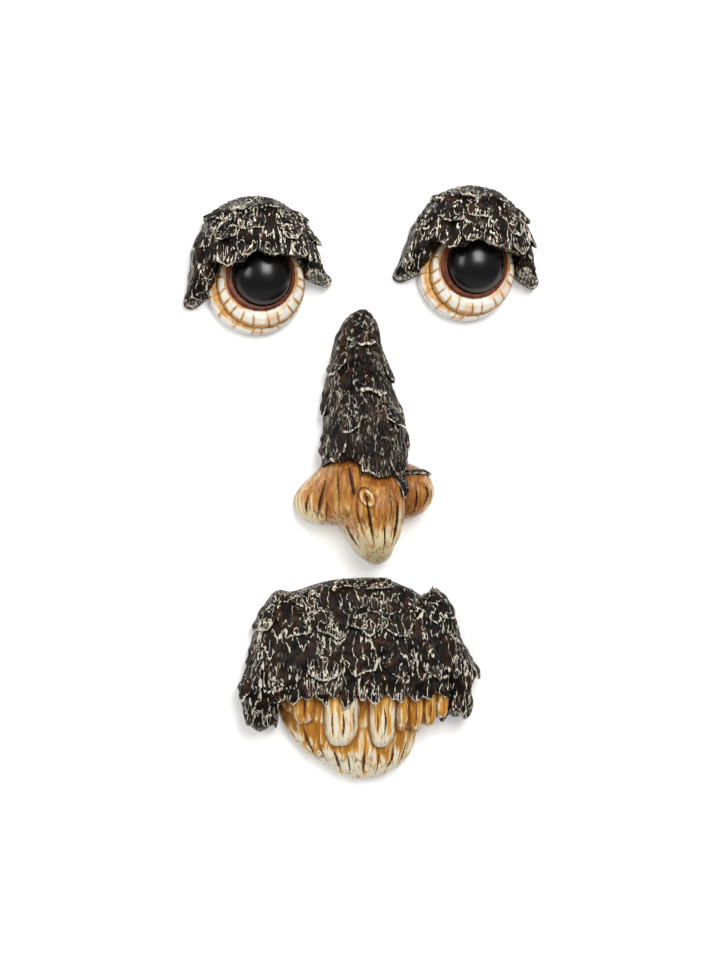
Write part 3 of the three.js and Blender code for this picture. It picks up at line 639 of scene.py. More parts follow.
lid_form = Swelling(
    EYE_UNIT,
    [-3, 5],
    [[-42, 5], [-41, 24], [-34, 38], [-22, 48], [-8, 52], [8, 51], [20, 44], [30, 35], [36, 22], [37, 8],
     [30, -10], [14, -20], [-4, -23], [-22, -19], [-36, -8]],
    EYE_DEPTH - BARK_THICKNESS,
    2.25,
)
left_flap_form = Swelling(
    EYE_UNIT,
    [-38, 2],
    [[-43, 20], [-46, 6], [-48, -8], [-50, -18], [-45, -21], [-38, -17], [-33, -11], [-29, -2], [-27, 12],
     [-34, 22]],
    lambda across, up: EYE_DEPTH * mix(0.3, 0.6, ease(-20, 8, up)),
    2.6,
)
right_flap_form = Swelling(
    EYE_UNIT,
    [34, 3],
    [[32, 15], [37, 12], [41, 5], [46, -1], [44, -5.5], [38, -4.5], [32, -2], [27, 2], [26, 12]],
    lambda across, up: EYE_DEPTH * mix(0.35, 0.62, ease(-6, 8, up)),
    2.6,
)

LID_ROWS = [
    {"level": lambda x: lid_edge(x) + 13, "span": (0.19, 0.86), "count": 6, "width": 17, "length": 15,
     "seed": 11, "fan": 0.35, "brush": 1},
    {"level": lambda x: lid_edge(x) + 24, "span": (0.12, 0.9), "count": 5, "width": 20, "length": 17,
     "seed": 41, "fan": 0.45, "brush": 0.8},
    {"level": crown_level, "span": (0.17, 0.85), "count": 4, "width": 18, "length": 15,
     "seed": 71, "fan": 0.5},
]
LEFT_FLAP_ROWS = [
    {"level": -2, "span": (0.5, 0.5), "count": 1, "width": 15, "length": 16,
     "seed": 105, "fan": -0.1, "brush": 0.7},
    {"level": 12, "span": (0.5, 0.5), "count": 1, "width": 16, "length": 17,
     "seed": 115, "fan": -0.1, "brush": 0.7},
]
print("Plates on the lid:", sum(row["count"] for row in LID_ROWS))

# %% [markdown]
# The socket's two ledges don't share one middle. Each is a profile turned about a middle of its own, and the
# inner one's middle moves from its foot to its edge. The notches are cut by the angle round that middle, at
# uneven steps, and the brown paint follows the same notches.

# %% Socket


def notched_ledge(foot, edge, profile, notches, notch_depth, half_width, line_share, plain_within=0):
    """A round ledge: its profile of radius, height, notch share and brown is turned about a middle that moves
    from foot to edge. Each notch lowers it by depth * (1 - distance / half width), draws it in by half of
    that, and takes a share of brown paint, with a fainter stain beside it. Near the ring that holds the pupil
    the ledge is plain and a little brown all round."""
    sides, rings = 720, 40
    stain_share, plain_share = 0.24, 0.3
    uneven, lean_spread = 0.55, 0.03
    turns = np.linspace(0, 1, len(profile))[:, None]
    profile = np.hstack([np.array(profile, float), mix(np.array(foot), np.array(edge), turns)])
    radius, height, share, groove, across, up = even_steps(profile, rings).T[..., None]
    count = np.arange(notches)
    at = (count + uneven * chance(notches + count)) / notches * 2 * math.pi
    lean = lean_spread * (chance(2 * notches + count) - 0.5)
    angle = np.arange(sides) / sides * 2 * math.pi
    bearing = angle[None, :, None] - at - lean * (radius[..., None] - profile[0, 0])
    turn = np.abs((bearing + math.pi) % (2 * math.pi) - math.pi).min(axis=2)
    spot_across, spot_up = across + radius * np.cos(angle), up + radius * np.sin(angle)
    plain = ease(plain_within + 1, plain_within, np.hypot(spot_across - IRIS_RING_SHIFT, spot_up))
    notch = (1 - turn * radius / half_width).clip(0) * share * (1 - plain)
    stain = (1 - turn * radius / (3 * half_width)).clip(0) * share
    cut = notch_depth * notch
    points = place(
        across + (radius - 0.5 * cut) * np.cos(angle),
        up + (radius - 0.5 * cut) * np.sin(angle),
        height - cut,
    )
    points[..., 1] += 0.2 * ripple(points, 7, 500 + notches) * ease(0, 3, -points[..., 1])
    layers = (line_share * notch, stain_share * stain, groove, plain_share * plain)
    line = np.max(np.broadcast_arrays(*layers), axis=0)
    return closed_shell(points, socket=1, line=line)


def turned(profile, sides, shift=0, **paints):
    """A closed shell from a profile of radius and height, turned about an axis a shift across the middle."""
    angle = np.arange(sides) / sides * 2 * math.pi
    radius, height = np.array(profile, float).T[..., None]
    points = place(shift + radius * np.cos(angle), radius * np.sin(angle), height + 0 * angle)
    return closed_shell(points, **paints)


def socket_shells():
    """The outer lip, the inner ledge and the iris ring."""
    lip, inner = 32 * EYE_UNIT, 28.5 * EYE_UNIT
    seat = PUPIL_DIAMETER / 2
    iris = seat + IRIS_RING_WIDTH
    top = PUPIL_BASE + PUPIL_RIM
    lip_middle = (-3.5 * EYE_UNIT, -5 * EYE_UNIT)
    outer_lip = notched_ledge(
        lip_middle,
        lip_middle,
        [[lip, -BEHIND_BACK, 0, 0], [lip, 0.32 * top, 1, 0], [0.96 * lip, 0.54 * top, 1, 0],
         [0.88 * lip, 0.6 * top, 1, 0.3]],
        notches=17,
        notch_depth=0.8,
        half_width=0.7,
        line_share=0.45,
    )
    inner_ledge = notched_ledge(
        (-0.5 * EYE_UNIT, -5.5 * EYE_UNIT),
        (-0.5 * EYE_UNIT, -2 * EYE_UNIT),
        [[inner, -BEHIND_BACK, 0, 0.8], [inner, 0.66 * top, 1, 0.8],
         [mix(iris, inner, 0.75), 0.9 * top, 1, 0], [mix(iris, inner, 0.3), 1.02 * top, 1, 0],
         [iris, 0.92 * top, 0.3, 0]],
        notches=21,
        notch_depth=1.1,
        half_width=0.6,
        line_share=0.75,
        plain_within=iris + 1,
    )
    ring = turned(
        [[iris, -BEHIND_BACK], [iris, 0.94 * top], [mix(seat, iris, 0.85), 1.0 * top],
         [mix(seat, iris, 0.5), 1.04 * top], [mix(seat, iris, 0.15), 1.02 * top], [0.9 * seat, top]],
        160,
        IRIS_RING_SHIFT,
        iris=1,
    )
    return [outer_lip, inner_ledge, ring]


def pupil_profile(clearance):
    """Radius and height of the pupil: a flat base, a short rim and a dome that is part of an ellipse."""
    radius = PUPIL_DIAMETER / 2 + clearance
    lift = np.linspace(0, math.pi / 2, 40)[:-1]
    height = PUPIL_BASE + PUPIL_RIM + (PUPIL_DOME + clearance) * np.sin(lift)
    return np.vstack([[[radius, PUPIL_BASE - clearance]], np.stack([radius * np.cos(lift), height], 1)])


print("The pupil's seat is", 2 * (PUPIL_DIAMETER / 2 + PUPIL_CLEARANCE), "mm across")

# %% [markdown]
# The eye is cast from its shells, and then the pupil's seat and the keyhole are cut out. One mesh serves both
# eyes, because the two in the photograph are alike but for a few scales.

# %% Make the eye


def underside(form):
    """Cream brushed along the edge where the form turns under."""

    def rim(points):
        _, out = form.nearest(points)
        return ease(0.35, 0.75, -out[..., 2]) * ease(3, 6, -points[..., 1])

    return rim


def lid_floor(across):
    """The lid ends at its front edge: what hangs below is lifted to it."""
    return lid_edge(across / EYE_UNIT) * EYE_UNIT


eye_shells = [
    body(lid_form, 300, 80, floor_at=lid_floor, relief=rough_bark(601)),
    body(left_flap_form, 160, 40, relief=rough_bark(611), rim=underside(left_flap_form)),
    body(right_flap_form, 160, 40, relief=rough_bark(621), rim=underside(right_flap_form)),
    *bark_rows(lid_form, LID_ROWS),
    *bark_rows(left_flap_form, LEFT_FLAP_ROWS),
    *socket_shells(),
]
seat_cutter = turned(pupil_profile(PUPIL_CLEARANCE), 160)
eye_mesh = cast("eye", eye_shells, EYE_VOXEL, [seat_cutter, *keyhole(0, EYE_KEYHOLE_ABOVE_MIDDLE)])

# %% [markdown]
# ## Nose
# The bridge is bark in long scales, and the tip and nostrils are smooth wood with deep cracks and a knot.
# Each is a swelling form of its own, so that bark ends on wood along a step. A strip of bark hangs over the
# wood at the right of the tip, and bark hoods the top of the right nostril.

# %% Nose forms
nose_bark_form = Swelling(
    NOSE_UNIT,
    [1.5, 12],
    [[1.5, 46.5], [-5.5, 43], [-10, 34], [-12, 25], [-14.5, 14], [-14.5, 0], [-15, -14], [-15, -30],
     [-10, -44], [2, -50], [13, -44], [18, -30], [17.5, -14], [17, -2], [14, 9], [11, 20], [8.5, 31],
     [6.5, 41]],
    lambda across, up: NOSE_DEPTH * mix(0.95, 0.32, ease(-22, 48, up)),
    2.5,
)
NOSE_BARK_EDGE = np.array([[-16, -14], [-12, -10.5], [-6, -9.5], [-3, -12], [0, -15.5], [3, -17], [8, -16.5],
                           [10, -15], [20, -15]], float)
nose_tip_form = Swelling(
    NOSE_UNIT,
    [3, -26],
    [[-11, -10], [-12.5, -22], [-11, -33], [-6, -41], [-1, -48.5], [5, -52], [10, -50], [13, -44],
     [16, -36], [18, -26], [17, -12], [4, -6]],
    lambda across, up: NOSE_DEPTH * mix(1, 0.82, ease(-30, -12, up)),
    2.3,
)
left_nostril_form = Swelling(
    NOSE_UNIT,
    [-9, -23],
    [[-25.6, -26], [-24.6, -32], [-19, -35.8], [-11, -36.4], [-5, -35.5], [1, -30], [3, -20], [0, -10],
     [-4, -7], [-9, -7.5], [-13, -11], [-17, -16], [-22, -20.5]],
    lambda across, up: NOSE_DEPTH * mix(0.5, 0.9, ease(-25, -3, across)),
    2.6,
)
right_nostril_form = Swelling(
    NOSE_UNIT,
    [19, -24],
    [[13, -13], [20, -13.5], [25, -16.5], [28, -21], [27.6, -27.5], [24, -32], [17, -34.5], [11, -30],
     [10, -18]],
    0.6 * NOSE_DEPTH,
    2.4,
)

NOSE_ROWS = [
    {"level": -4, "span": (0.52, 0.66), "count": 2, "width": 12, "length": 13, "seed": 203},
    {"level": 5, "span": (0.12, 0.29), "count": 2, "width": 13, "length": 15, "seed": 211},
    {"level": 7, "span": (0.92, 0.92), "count": 1, "width": 11, "length": 16, "seed": 225},
    {"level": 13, "span": (0.41, 0.7), "count": 2, "width": 14, "length": 15, "seed": 231},
    {"level": 20, "span": (0.12, 0.87), "count": 2, "width": 12, "length": 15, "seed": 241},
    {"level": 28, "span": (0.55, 0.55), "count": 1, "width": 16, "length": 15, "seed": 246},
    {"level": 34, "span": (0.2, 0.84), "count": 2, "width": 13, "length": 14, "seed": 261},
    {"level": 44, "span": (0.5, 0.5), "count": 1, "width": 19, "length": 12, "seed": 281},
]
NOSE_TIP_ROWS = [{"level": -13, "span": (0.68, 0.68), "count": 1, "width": 10, "length": 14, "seed": 223}]
RIGHT_NOSTRIL_ROWS = [
    {"level": -14.5, "span": (0.42, 0.84), "count": 3, "width": 10, "length": 5, "seed": 291},
]
TIP_CRACKS = [
    ([[-2, -18], [0, -32], [3, -46]], 2.4, 2),
    ([[10, -21], [11, -33], [9, -45]], 2.8, 2.2),
    ([[5, -32], [6, -39], [6, -48]], 1.8, 1.1),
    ([[14, -20], [15, -29], [13, -38]], 2, 1.3),
    ([[-4.5, -22], [-4, -31], [0, -42]], 1.6, 1),
    ([[7.5, -18], [8.2, -27], [7.6, -36]], 1.5, 1),
    ([[-8, -34], [-5, -40], [-1, -46]], 2, 1.3),
]
LEFT_NOSTRIL_CRACKS = [
    ([[-7.5, -11], [-6, -20], [-4, -32]], 2.8, 2.4),
    ([[-14, -15], [-17, -25], [-18, -34]], 2.6, 1.8),
    ([[-11, -13], [-11, -22], [-10, -33]], 1.8, 1.1),
    ([[-21, -23], [-22, -28], [-21.5, -33]], 2, 1.1),
    ([[-14.5, -24], [-15, -30], [-14.5, -35]], 1.6, 0.9),
    ([[-3.5, -11], [-2.5, -18], [-1, -26]], 1.6, 0.9),
]
RIGHT_NOSTRIL_CRACKS = [
    ([[22, -18], [24, -24], [22, -30]], 2.6, 1.8),
    ([[19, -20], [19.5, -26], [18.5, -32]], 2, 1.1),
    ([[25.5, -21], [26, -25], [25, -29]], 1.6, 0.9),
]
print("Cracks in the nose:", len(TIP_CRACKS + LEFT_NOSTRIL_CRACKS + RIGHT_NOSTRIL_CRACKS))

# %% [markdown]
# The knot is a raised loop round a small pit. Its circle is drawn out by measuring distance unevenly, and the
# relief and the two paints all read that one distance. The wood pales downwards, as the photograph shows.

# %% Make the nose
TAN_ABOVE, CREAM_BELOW = -18, -48
KNOT = (-0.9, -24.2)
KNOT_PIT, KNOT_LOOP, KNOT_OUTLINE = 1.5, 3.1, 4.6


def hump(value, middle, spread):
    """exp(-((value - middle) / spread)^2): 1 at the middle, and soon 0 away from it."""
    return np.exp(-(((value - middle) / spread) ** 2))


def nose_bark_floor(across):
    """The bark ends on the wood along a line of places."""
    return np.interp(across / NOSE_UNIT, NOSE_BARK_EDGE[:, 0], NOSE_BARK_EDGE[:, 1]) * NOSE_UNIT


def knot_distance(points):
    """Distance from the middle of the knot, with the circle drawn out a little to its lower right."""
    across, up = points[..., 0] / NOSE_UNIT - KNOT[0], points[..., 2] / NOSE_UNIT - KNOT[1]
    return np.hypot(across + 0.45 * up, 0.75 * up - 0.2 * across) * NOSE_UNIT


def nose_pale(points):
    """Tan at the top of the wood, and cream towards the lobes, the tip and the knot's loop, with slow
    blotches."""
    low = ease(TAN_ABOVE, CREAM_BELOW, points[..., 2] / NOSE_UNIT)
    lobe = ease(-13, -24, points[..., 0] / NOSE_UNIT) + ease(20, 27, points[..., 0] / NOSE_UNIT)
    loop = hump(knot_distance(points), KNOT_LOOP, 0.9)
    return (0.1 + 0.75 * low + 0.4 * lobe + 0.45 * loop + 0.12 * ripple(points, 22, 701)).clip(0, 1)


def tip_relief(points):
    """The tip's grain and cracks, and a knot: a raised loop round a small pit."""
    away = knot_distance(points)
    knot = 1.1 * hump(away, KNOT_LOOP, 1) - 1.6 * hump(away, 0, KNOT_PIT)
    return grained_wood(NOSE_UNIT, TIP_CRACKS, 641)(points) + knot


def tip_line(points):
    """Brown paint in the cracks, in the knot's pit and just outside its loop."""
    away = knot_distance(points)
    knot = 0.7 * np.maximum(hump(away, 0, 0.8 * KNOT_PIT), hump(away, KNOT_OUTLINE, 0.6))
    return np.maximum(knot, crack_paint(NOSE_UNIT, TIP_CRACKS)(points))


nose_shells = [
    body(nose_bark_form, 300, 100, floor_at=nose_bark_floor, relief=rough_bark(631)),
    body(nose_tip_form, 420, 130, relief=tip_relief, wood=1, pale=nose_pale, line=tip_line),
    body(left_nostril_form, 380, 110, relief=grained_wood(NOSE_UNIT, LEFT_NOSTRIL_CRACKS, 651), wood=1,
         pale=nose_pale, line=crack_paint(NOSE_UNIT, LEFT_NOSTRIL_CRACKS)),
    body(right_nostril_form, 280, 80, relief=grained_wood(NOSE_UNIT, RIGHT_NOSTRIL_CRACKS, 661), wood=1,
         pale=nose_pale, line=crack_paint(NOSE_UNIT, RIGHT_NOSTRIL_CRACKS)),
    *bark_rows(nose_bark_form, NOSE_ROWS),
    *bark_rows(nose_tip_form, NOSE_TIP_ROWS),
    *bark_rows(right_nostril_form, RIGHT_NOSTRIL_ROWS),
]
nose_mesh = cast("nose", nose_shells, NOSE_VOXEL, keyhole(0, KEYHOLE_ABOVE_MOUNT))

# %% [markdown]
# ## Mouth
# A moustache of bark hangs in four rows with a fall at each side. Under it are a row of uneven wooden teeth,
# which stand in a gum, and a broad lower lip. Teeth could be cut out of one block, but each as a rounded
# block of its own gives the deep joins between them, and the voxel remesh rounds those joins.

# %% Mouth forms
moustache_form = Swelling(
    MOUTH_UNIT,
    [0, -4],
    [[-46, -4], [-44.5, 9], [-41, 21], [-37.5, 27.5], [-33.5, 31.5], [-27, 31], [-17, 34], [-8, 35.6],
     [9, 35.8], [21, 31.5], [28.5, 27.5], [32, 31], [35.8, 28.6], [39.5, 21.5], [43, 10.5], [44, 0],
     [43, -10], [32, -26], [0, -34], [-32, -26], [-45, -14]],
    lambda across, up: MOUTH_DEPTH * mix(0.92, 0.62, ease(-6, 38, up)),
    3,
)
MOUSTACHE_EDGE = np.array([[-34.1, -100], [-34, -6], [-18, -7], [-12, -9], [14, -9], [22, -7], [34, -4],
                           [34.1, -100]], float)
left_fall_form = Swelling(
    MOUTH_UNIT,
    [-41, -6],
    [[-35, 12], [-42, 11], [-46, 1], [-48.5, -8], [-47.5, -18], [-43.5, -25], [-39.5, -25.5], [-35, -21],
     [-32, -12], [-32, 2]],
    0.72 * MOUTH_DEPTH,
    2.8,
)
right_fall_form = Swelling(
    MOUTH_UNIT,
    [41, -5],
    [[36, 12], [42, 11], [46, 4], [48.5, -4], [46.5, -11], [46, -19], [41, -22.5], [36.5, -20], [35, -10],
     [34, 2]],
    0.7 * MOUTH_DEPTH,
    2.8,
)
lip_form = Swelling(
    MOUTH_UNIT,
    [-3, -26],
    [[-33, -17], [-30, -25.5], [-24, -34], [-16, -40], [-7, -45.5], [1, -47.6], [9, -46.5], [18, -42],
     [23, -35], [25, -27], [30, -14], [0, -6], [-30, -8]],
    0.62 * MOUTH_DEPTH,
    2.5,
)
gum_form = Swelling(
    MOUTH_UNIT,
    [0, -8],
    [[-35, 0], [-34, -12], [-28, -19], [-17, -24], [0, -27.5], [15, -26.5], [27, -24], [35, -18], [37, 0],
     [0, 6]],
    0.67 * MOUTH_DEPTH,
    5,
)


def tooth(left, right, root, edge, depth_share):
    """A rounded block from its root under the bark down to its biting edge."""
    middle = (left + right) / 2
    return Swelling(
        MOUTH_UNIT,
        [middle, mix(root, edge, 0.45)],
        [[left, root], [left, mix(root, edge, 0.7)], [mix(left, right, 0.2), mix(root, edge, 0.95)],
         [middle, edge], [mix(left, right, 0.8), mix(root, edge, 0.95)], [right, mix(root, edge, 0.7)],
         [right, root], [middle, root + 2]],
        depth_share * MOUTH_DEPTH,
        5,
    )


teeth = [
    tooth(-28.5, -19, -1, -22, 0.76),
    tooth(-15.7, -1.4, -2, -31.3, 0.88),
    tooth(2.8, 13.6, -2, -32.5, 0.88),
    tooth(13.2, 19.2, -1, -26.5, 0.77),
    tooth(18.9, 25.4, -1, -27, 0.75),
    tooth(25.1, 30.6, -1, -25, 0.73),
    tooth(30.3, 36, -1, -21.5, 0.71),
]
MOUSTACHE_ROWS = [
    {"level": 2, "span": (0.2, 0.8), "count": 13, "width": 9, "length": 13, "seed": 311},
    {"level": 13, "span": (0.07, 0.93), "count": 7, "width": 17, "length": 15, "seed": 331, "fan": 0.1},
    {"level": 28, "span": (0.07, 0.93), "count": 6, "width": 18, "length": 15, "seed": 351, "fan": 0.2},
    {"level": 36, "span": (0.3, 0.7), "count": 3, "width": 16, "length": 12, "seed": 371, "fan": 0.2},
]
LEFT_FALL_ROWS = [
    {"level": -9, "span": (0.3, 0.6), "count": 2, "width": 12, "length": 15, "seed": 391},
    {"level": 5, "span": (0.28, 0.62), "count": 2, "width": 13, "length": 15, "seed": 401},
]
RIGHT_FALL_ROWS = [
    {"level": -7, "span": (0.45, 0.78), "count": 2, "width": 12, "length": 14, "seed": 411},
    {"level": 7, "span": (0.45, 0.8), "count": 2, "width": 12, "length": 14, "seed": 421},
]
TOOTH_CRACKS = [
    ([[-9, -13], [-8, -21], [-9, -29]], 2, 1.6),
    ([[8, -13], [9, -20], [8, -29]], 2, 1.6),
    ([[-24, -9], [-23.5, -14], [-24, -19]], 2, 1.4),
    ([[-12.5, -12], [-12.8, -20], [-12, -27]], 1.6, 0.9),
    ([[-4, -11], [-4, -19], [-3.6, -27]], 1.6, 0.9),
    ([[5.4, -12], [5.8, -20], [5.4, -27]], 1.6, 0.9),
    ([[22, -12], [22, -18], [21.6, -25]], 1.6, 1),
    ([[28, -10], [28, -16], [27.8, -22]], 1.5, 0.9),
]
LIP_CRACKS = [
    ([[-24, -22], [-22, -29], [-18, -37]], 2.6, 1.8),
    ([[-12, -31], [-10, -37], [-8, -43]], 2.6, 1.8),
    ([[1, -32], [1, -38], [1, -45]], 2.6, 1.8),
    ([[13, -32], [13, -37], [11, -43]], 2.6, 1.8),
    ([[-18, -27], [-16, -34], [-13, -40]], 1.8, 1.1),
    ([[-6, -32], [-5, -39], [-4, -45]], 1.8, 1),
    ([[7, -33], [7, -39], [6, -45]], 1.8, 1),
    ([[19, -30], [18, -35], [16, -40]], 1.8, 1),
]
print("Teeth:", len(teeth), "and plates in the moustache:", sum(row["count"] for row in MOUSTACHE_ROWS))

# %% [markdown]
# The two front teeth and the lip run from ochre down into cream, and the teeth beside them stay ochre. How
# pale the wood is depends only on the place, so the border can be drawn as a curve.

# %% Make the mouth


def moustache_floor(across):
    """Between the falls the moustache ends over the teeth along a line of places."""
    return np.interp(across / MOUTH_UNIT, MOUSTACHE_EDGE[:, 0], MOUSTACHE_EDGE[:, 1]) * MOUTH_UNIT


def teeth_pale(points):
    """The two front teeth run from ochre under the bark down into cream, and those beside them stay ochre."""
    front = ease(-19, -16, points[..., 0] / MOUTH_UNIT) * ease(15, 13, points[..., 0] / MOUTH_UNIT)
    return mix(0.4, 0.85, front) * ease(-2, -19, points[..., 2] / MOUTH_UNIT)


def gum_pale(points):
    """Gum stays ochre, only a little paler low down."""
    return 0.35 * ease(-8, -26, points[..., 2] / MOUTH_UNIT)


def lip_pale(points):
    """The lip is ochre where it meets the teeth and cream at its rim, with a curved border between them."""
    across, up = points[..., 0] / MOUTH_UNIT, points[..., 2] / MOUTH_UNIT
    return ease(-30.5, -40.5, up - 0.011 * (across - 2) ** 2)


mouth_shells = [
    body(moustache_form, 360, 90, floor_at=moustache_floor, relief=rough_bark(671)),
    body(left_fall_form, 160, 40, relief=rough_bark(675)),
    body(right_fall_form, 160, 40, relief=rough_bark(679)),
    body(lip_form, 480, 90, relief=grained_wood(MOUTH_UNIT, LIP_CRACKS, 681), wood=1, pale=lip_pale,
         line=crack_paint(MOUTH_UNIT, LIP_CRACKS)),
    body(gum_form, 360, 60, relief=grained_wood(MOUTH_UNIT, [], 683), wood=1, pale=gum_pale),
    *(body(form, 200, 80, relief=grained_wood(MOUTH_UNIT, TOOTH_CRACKS, 685 + i), wood=1, pale=teeth_pale,
           line=crack_paint(MOUTH_UNIT, TOOTH_CRACKS)) for i, form in enumerate(teeth)),
    *bark_rows(moustache_form, MOUSTACHE_ROWS),
    *bark_rows(left_fall_form, LEFT_FALL_ROWS),
    *bark_rows(right_fall_form, RIGHT_FALL_ROWS),
]
mouth_mesh = cast("mouth", mouth_shells, MOUTH_VOXEL, keyhole(0, KEYHOLE_ABOVE_MOUNT))

# %% [markdown]
# ## Where paint catches and where it collects
# Cream paint on a nearly dry brush only touches what stands out, and what lies low is darkened: a dark wash
# that is also painted shade in the hollows.
# Both follow from the shape: if a point lies in front of the mean of its neighbours it stands out, and if it
# lies behind it is low. Averaging a few times looks at fine ridges, and many times at whole plates.

# %% Raised and low places
RIDGE_ROUNDS, EDGE_ROUNDS = 5, 60


def vectors(items, field):
    """A field of three numbers of each item, as an array of rows."""
    values = np.empty(3 * len(items), np.float32)
    items.foreach_get(field, values)
    return values.reshape(-1, 3).astype(float)


def mean_of_neighbours(values, edges, rounds):
    """Each point's value and its neighbours' values, averaged again and again."""
    count = len(values)
    ends = np.r_[edges[:, 0], edges[:, 1]]
    others = np.r_[edges[:, 1], edges[:, 0]]
    weight = 1 + np.bincount(ends, minlength=count)
    for _ in range(rounds):
        sums = [np.bincount(ends, values[others, k], minlength=count) for k in range(values.shape[1])]
        values = (values + np.stack(sums, axis=1)) / weight[:, None]
    return values


def mark_relief(mesh):
    """Adds how far each point stands out from its surroundings, in millimetres: 'ridge' at the scale of the
    fine ridges, and 'edge' at the scale of whole plates and cracks."""
    points, out = vectors(mesh.vertices, "co"), vectors(mesh.vertex_normals, "vector")
    edges = np.empty(len(mesh.edges) * 2, np.int32)
    mesh.edges.foreach_get("vertices", edges)
    edges = edges.reshape(-1, 2)
    for name, rounds in (("ridge", RIDGE_ROUNDS), ("edge", EDGE_ROUNDS)):
        smooth = mean_of_neighbours(points, edges, rounds)
        stands = np.sum((points - smooth) * out, axis=1)
        stands = mean_of_neighbours(stands[:, None], edges, 1)[:, 0]
        mesh.attributes.new(name, "FLOAT", "POINT").data.foreach_set("value", stands.astype(np.float32))
        print(f"  {name}: {np.percentile(stands, [2, 25, 50, 75, 98]).round(2)} mm")


for made in (eye_mesh, nose_mesh, mouth_mesh):
    mark_relief(made)

# %% [markdown]
# ## Hang the castings
# A finished piece keeps its place in its mesh, as the frame's solids do, and its object stays at the origin.
# The two eyes are one casting, hung twice, the right one turned a little clockwise. The fronts are shaded
# smooth. Faces that look straight back, whose direction has FLAT_BACK or more along +Y, stay flat.

# %% Hang the castings
NOSE_TOP, NOSE_FOOT = 46.5 * NOSE_UNIT, 52.4 * NOSE_UNIT
MOUTH_TOP, EYE_INNER_REACH = 37 * MOUTH_UNIT, 46 * EYE_UNIT
LEFT_EYE_AT = (-(LEFT_EYE_TO_NOSE_LINE + EYE_INNER_REACH), NOSE_TOP + EYE_ABOVE_NOSE)
RIGHT_EYE_AT = (RIGHT_EYE_TO_NOSE_LINE + EYE_INNER_REACH, NOSE_TOP + EYE_ABOVE_NOSE + RIGHT_EYE_RAISED)
MOUTH_AT = (MOUTH_SHIFT, -(NOSE_FOOT + NOSE_TO_MOUTH + MOUTH_TOP))
FLAT_BACK = 0.999


def hang(name, mesh, at, turn, node):
    """x' = x cos t + z sin t + across, z' = -x sin t + z cos t + up, then millimetres to metres."""
    x, y, z = vectors(mesh.vertices, "co").T
    moved = np.stack([
        x * math.cos(turn) + z * math.sin(turn) + at[0],
        y,
        -x * math.sin(turn) + z * math.cos(turn) + at[1],
    ], axis=1) * MM
    mesh.vertices.foreach_set("co", moved.astype(np.float32).ravel())
    mesh.update()
    mesh.polygons.foreach_set("use_smooth", vectors(mesh.polygons, "normal")[:, 1] < FLAT_BACK)
    mesh.update()
    piece = shown(name, mesh)
    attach(piece, "root")
    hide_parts(node)
    return piece


left_eye = hang("left_eye", eye_mesh.copy(), LEFT_EYE_AT, 0, "left_eye_casting")
right_eye = hang("right_eye", eye_mesh, RIGHT_EYE_AT, RIGHT_EYE_TURN, "right_eye_casting")
nose = hang("nose", nose_mesh, (0, 0), 0, "nose_casting")
mouth = hang("mouth", mouth_mesh, MOUTH_AT, 0, "mouth_casting")
print("In mm, the left eye hangs at", np.round(LEFT_EYE_AT, 1), "and the mouth at", np.round(MOUTH_AT, 1))

# %% [markdown]
# ## Pupils
# The pupils are polished black domes, each on a short rim in its seat. A sphere would stand out too far, so
# the dome is part of an ellipse. It is turned with enough sides for a clean reflection.

# %% Pupils


def pupil_mesh():
    """The pupil's profile turned about its own axis, closed at the base and the top."""
    shell = turned(pupil_profile(0), 128)
    shell["points"][-1] = [0, -(PUPIL_BASE + PUPIL_RIM + PUPIL_DOME), 0]
    return mesh_of("pupil", shell["points"], shell["triangles"])


left_pupil = hang("left_eye_pupil", pupil_mesh(), LEFT_EYE_AT, 0, "left_pupil")
right_pupil = hang("right_eye_pupil", pupil_mesh(), RIGHT_EYE_AT, RIGHT_EYE_TURN, "right_pupil")
print("Each pupil has", len(left_pupil.data.polygons), "triangles")

# %% [markdown]
# ## Paint
# The castings are painted in layers, and the materials are built in the same layers: a base coat of dark
# bark or stained wood, a wash with painted shade in the low places, and a cream brush that touches the
# ridges.

# %% Material helpers


def paint(code):
    """A colour from its code as shown on a screen to the even scale that light adds up on."""
    shares = [int(code[i:i + 2], 16) / 255 for i in (0, 2, 4)]
    return tuple(v / 12.92 if v <= 0.04045 else ((v + 0.055) / 1.055) ** 2.4 for v in shares) + (1,)


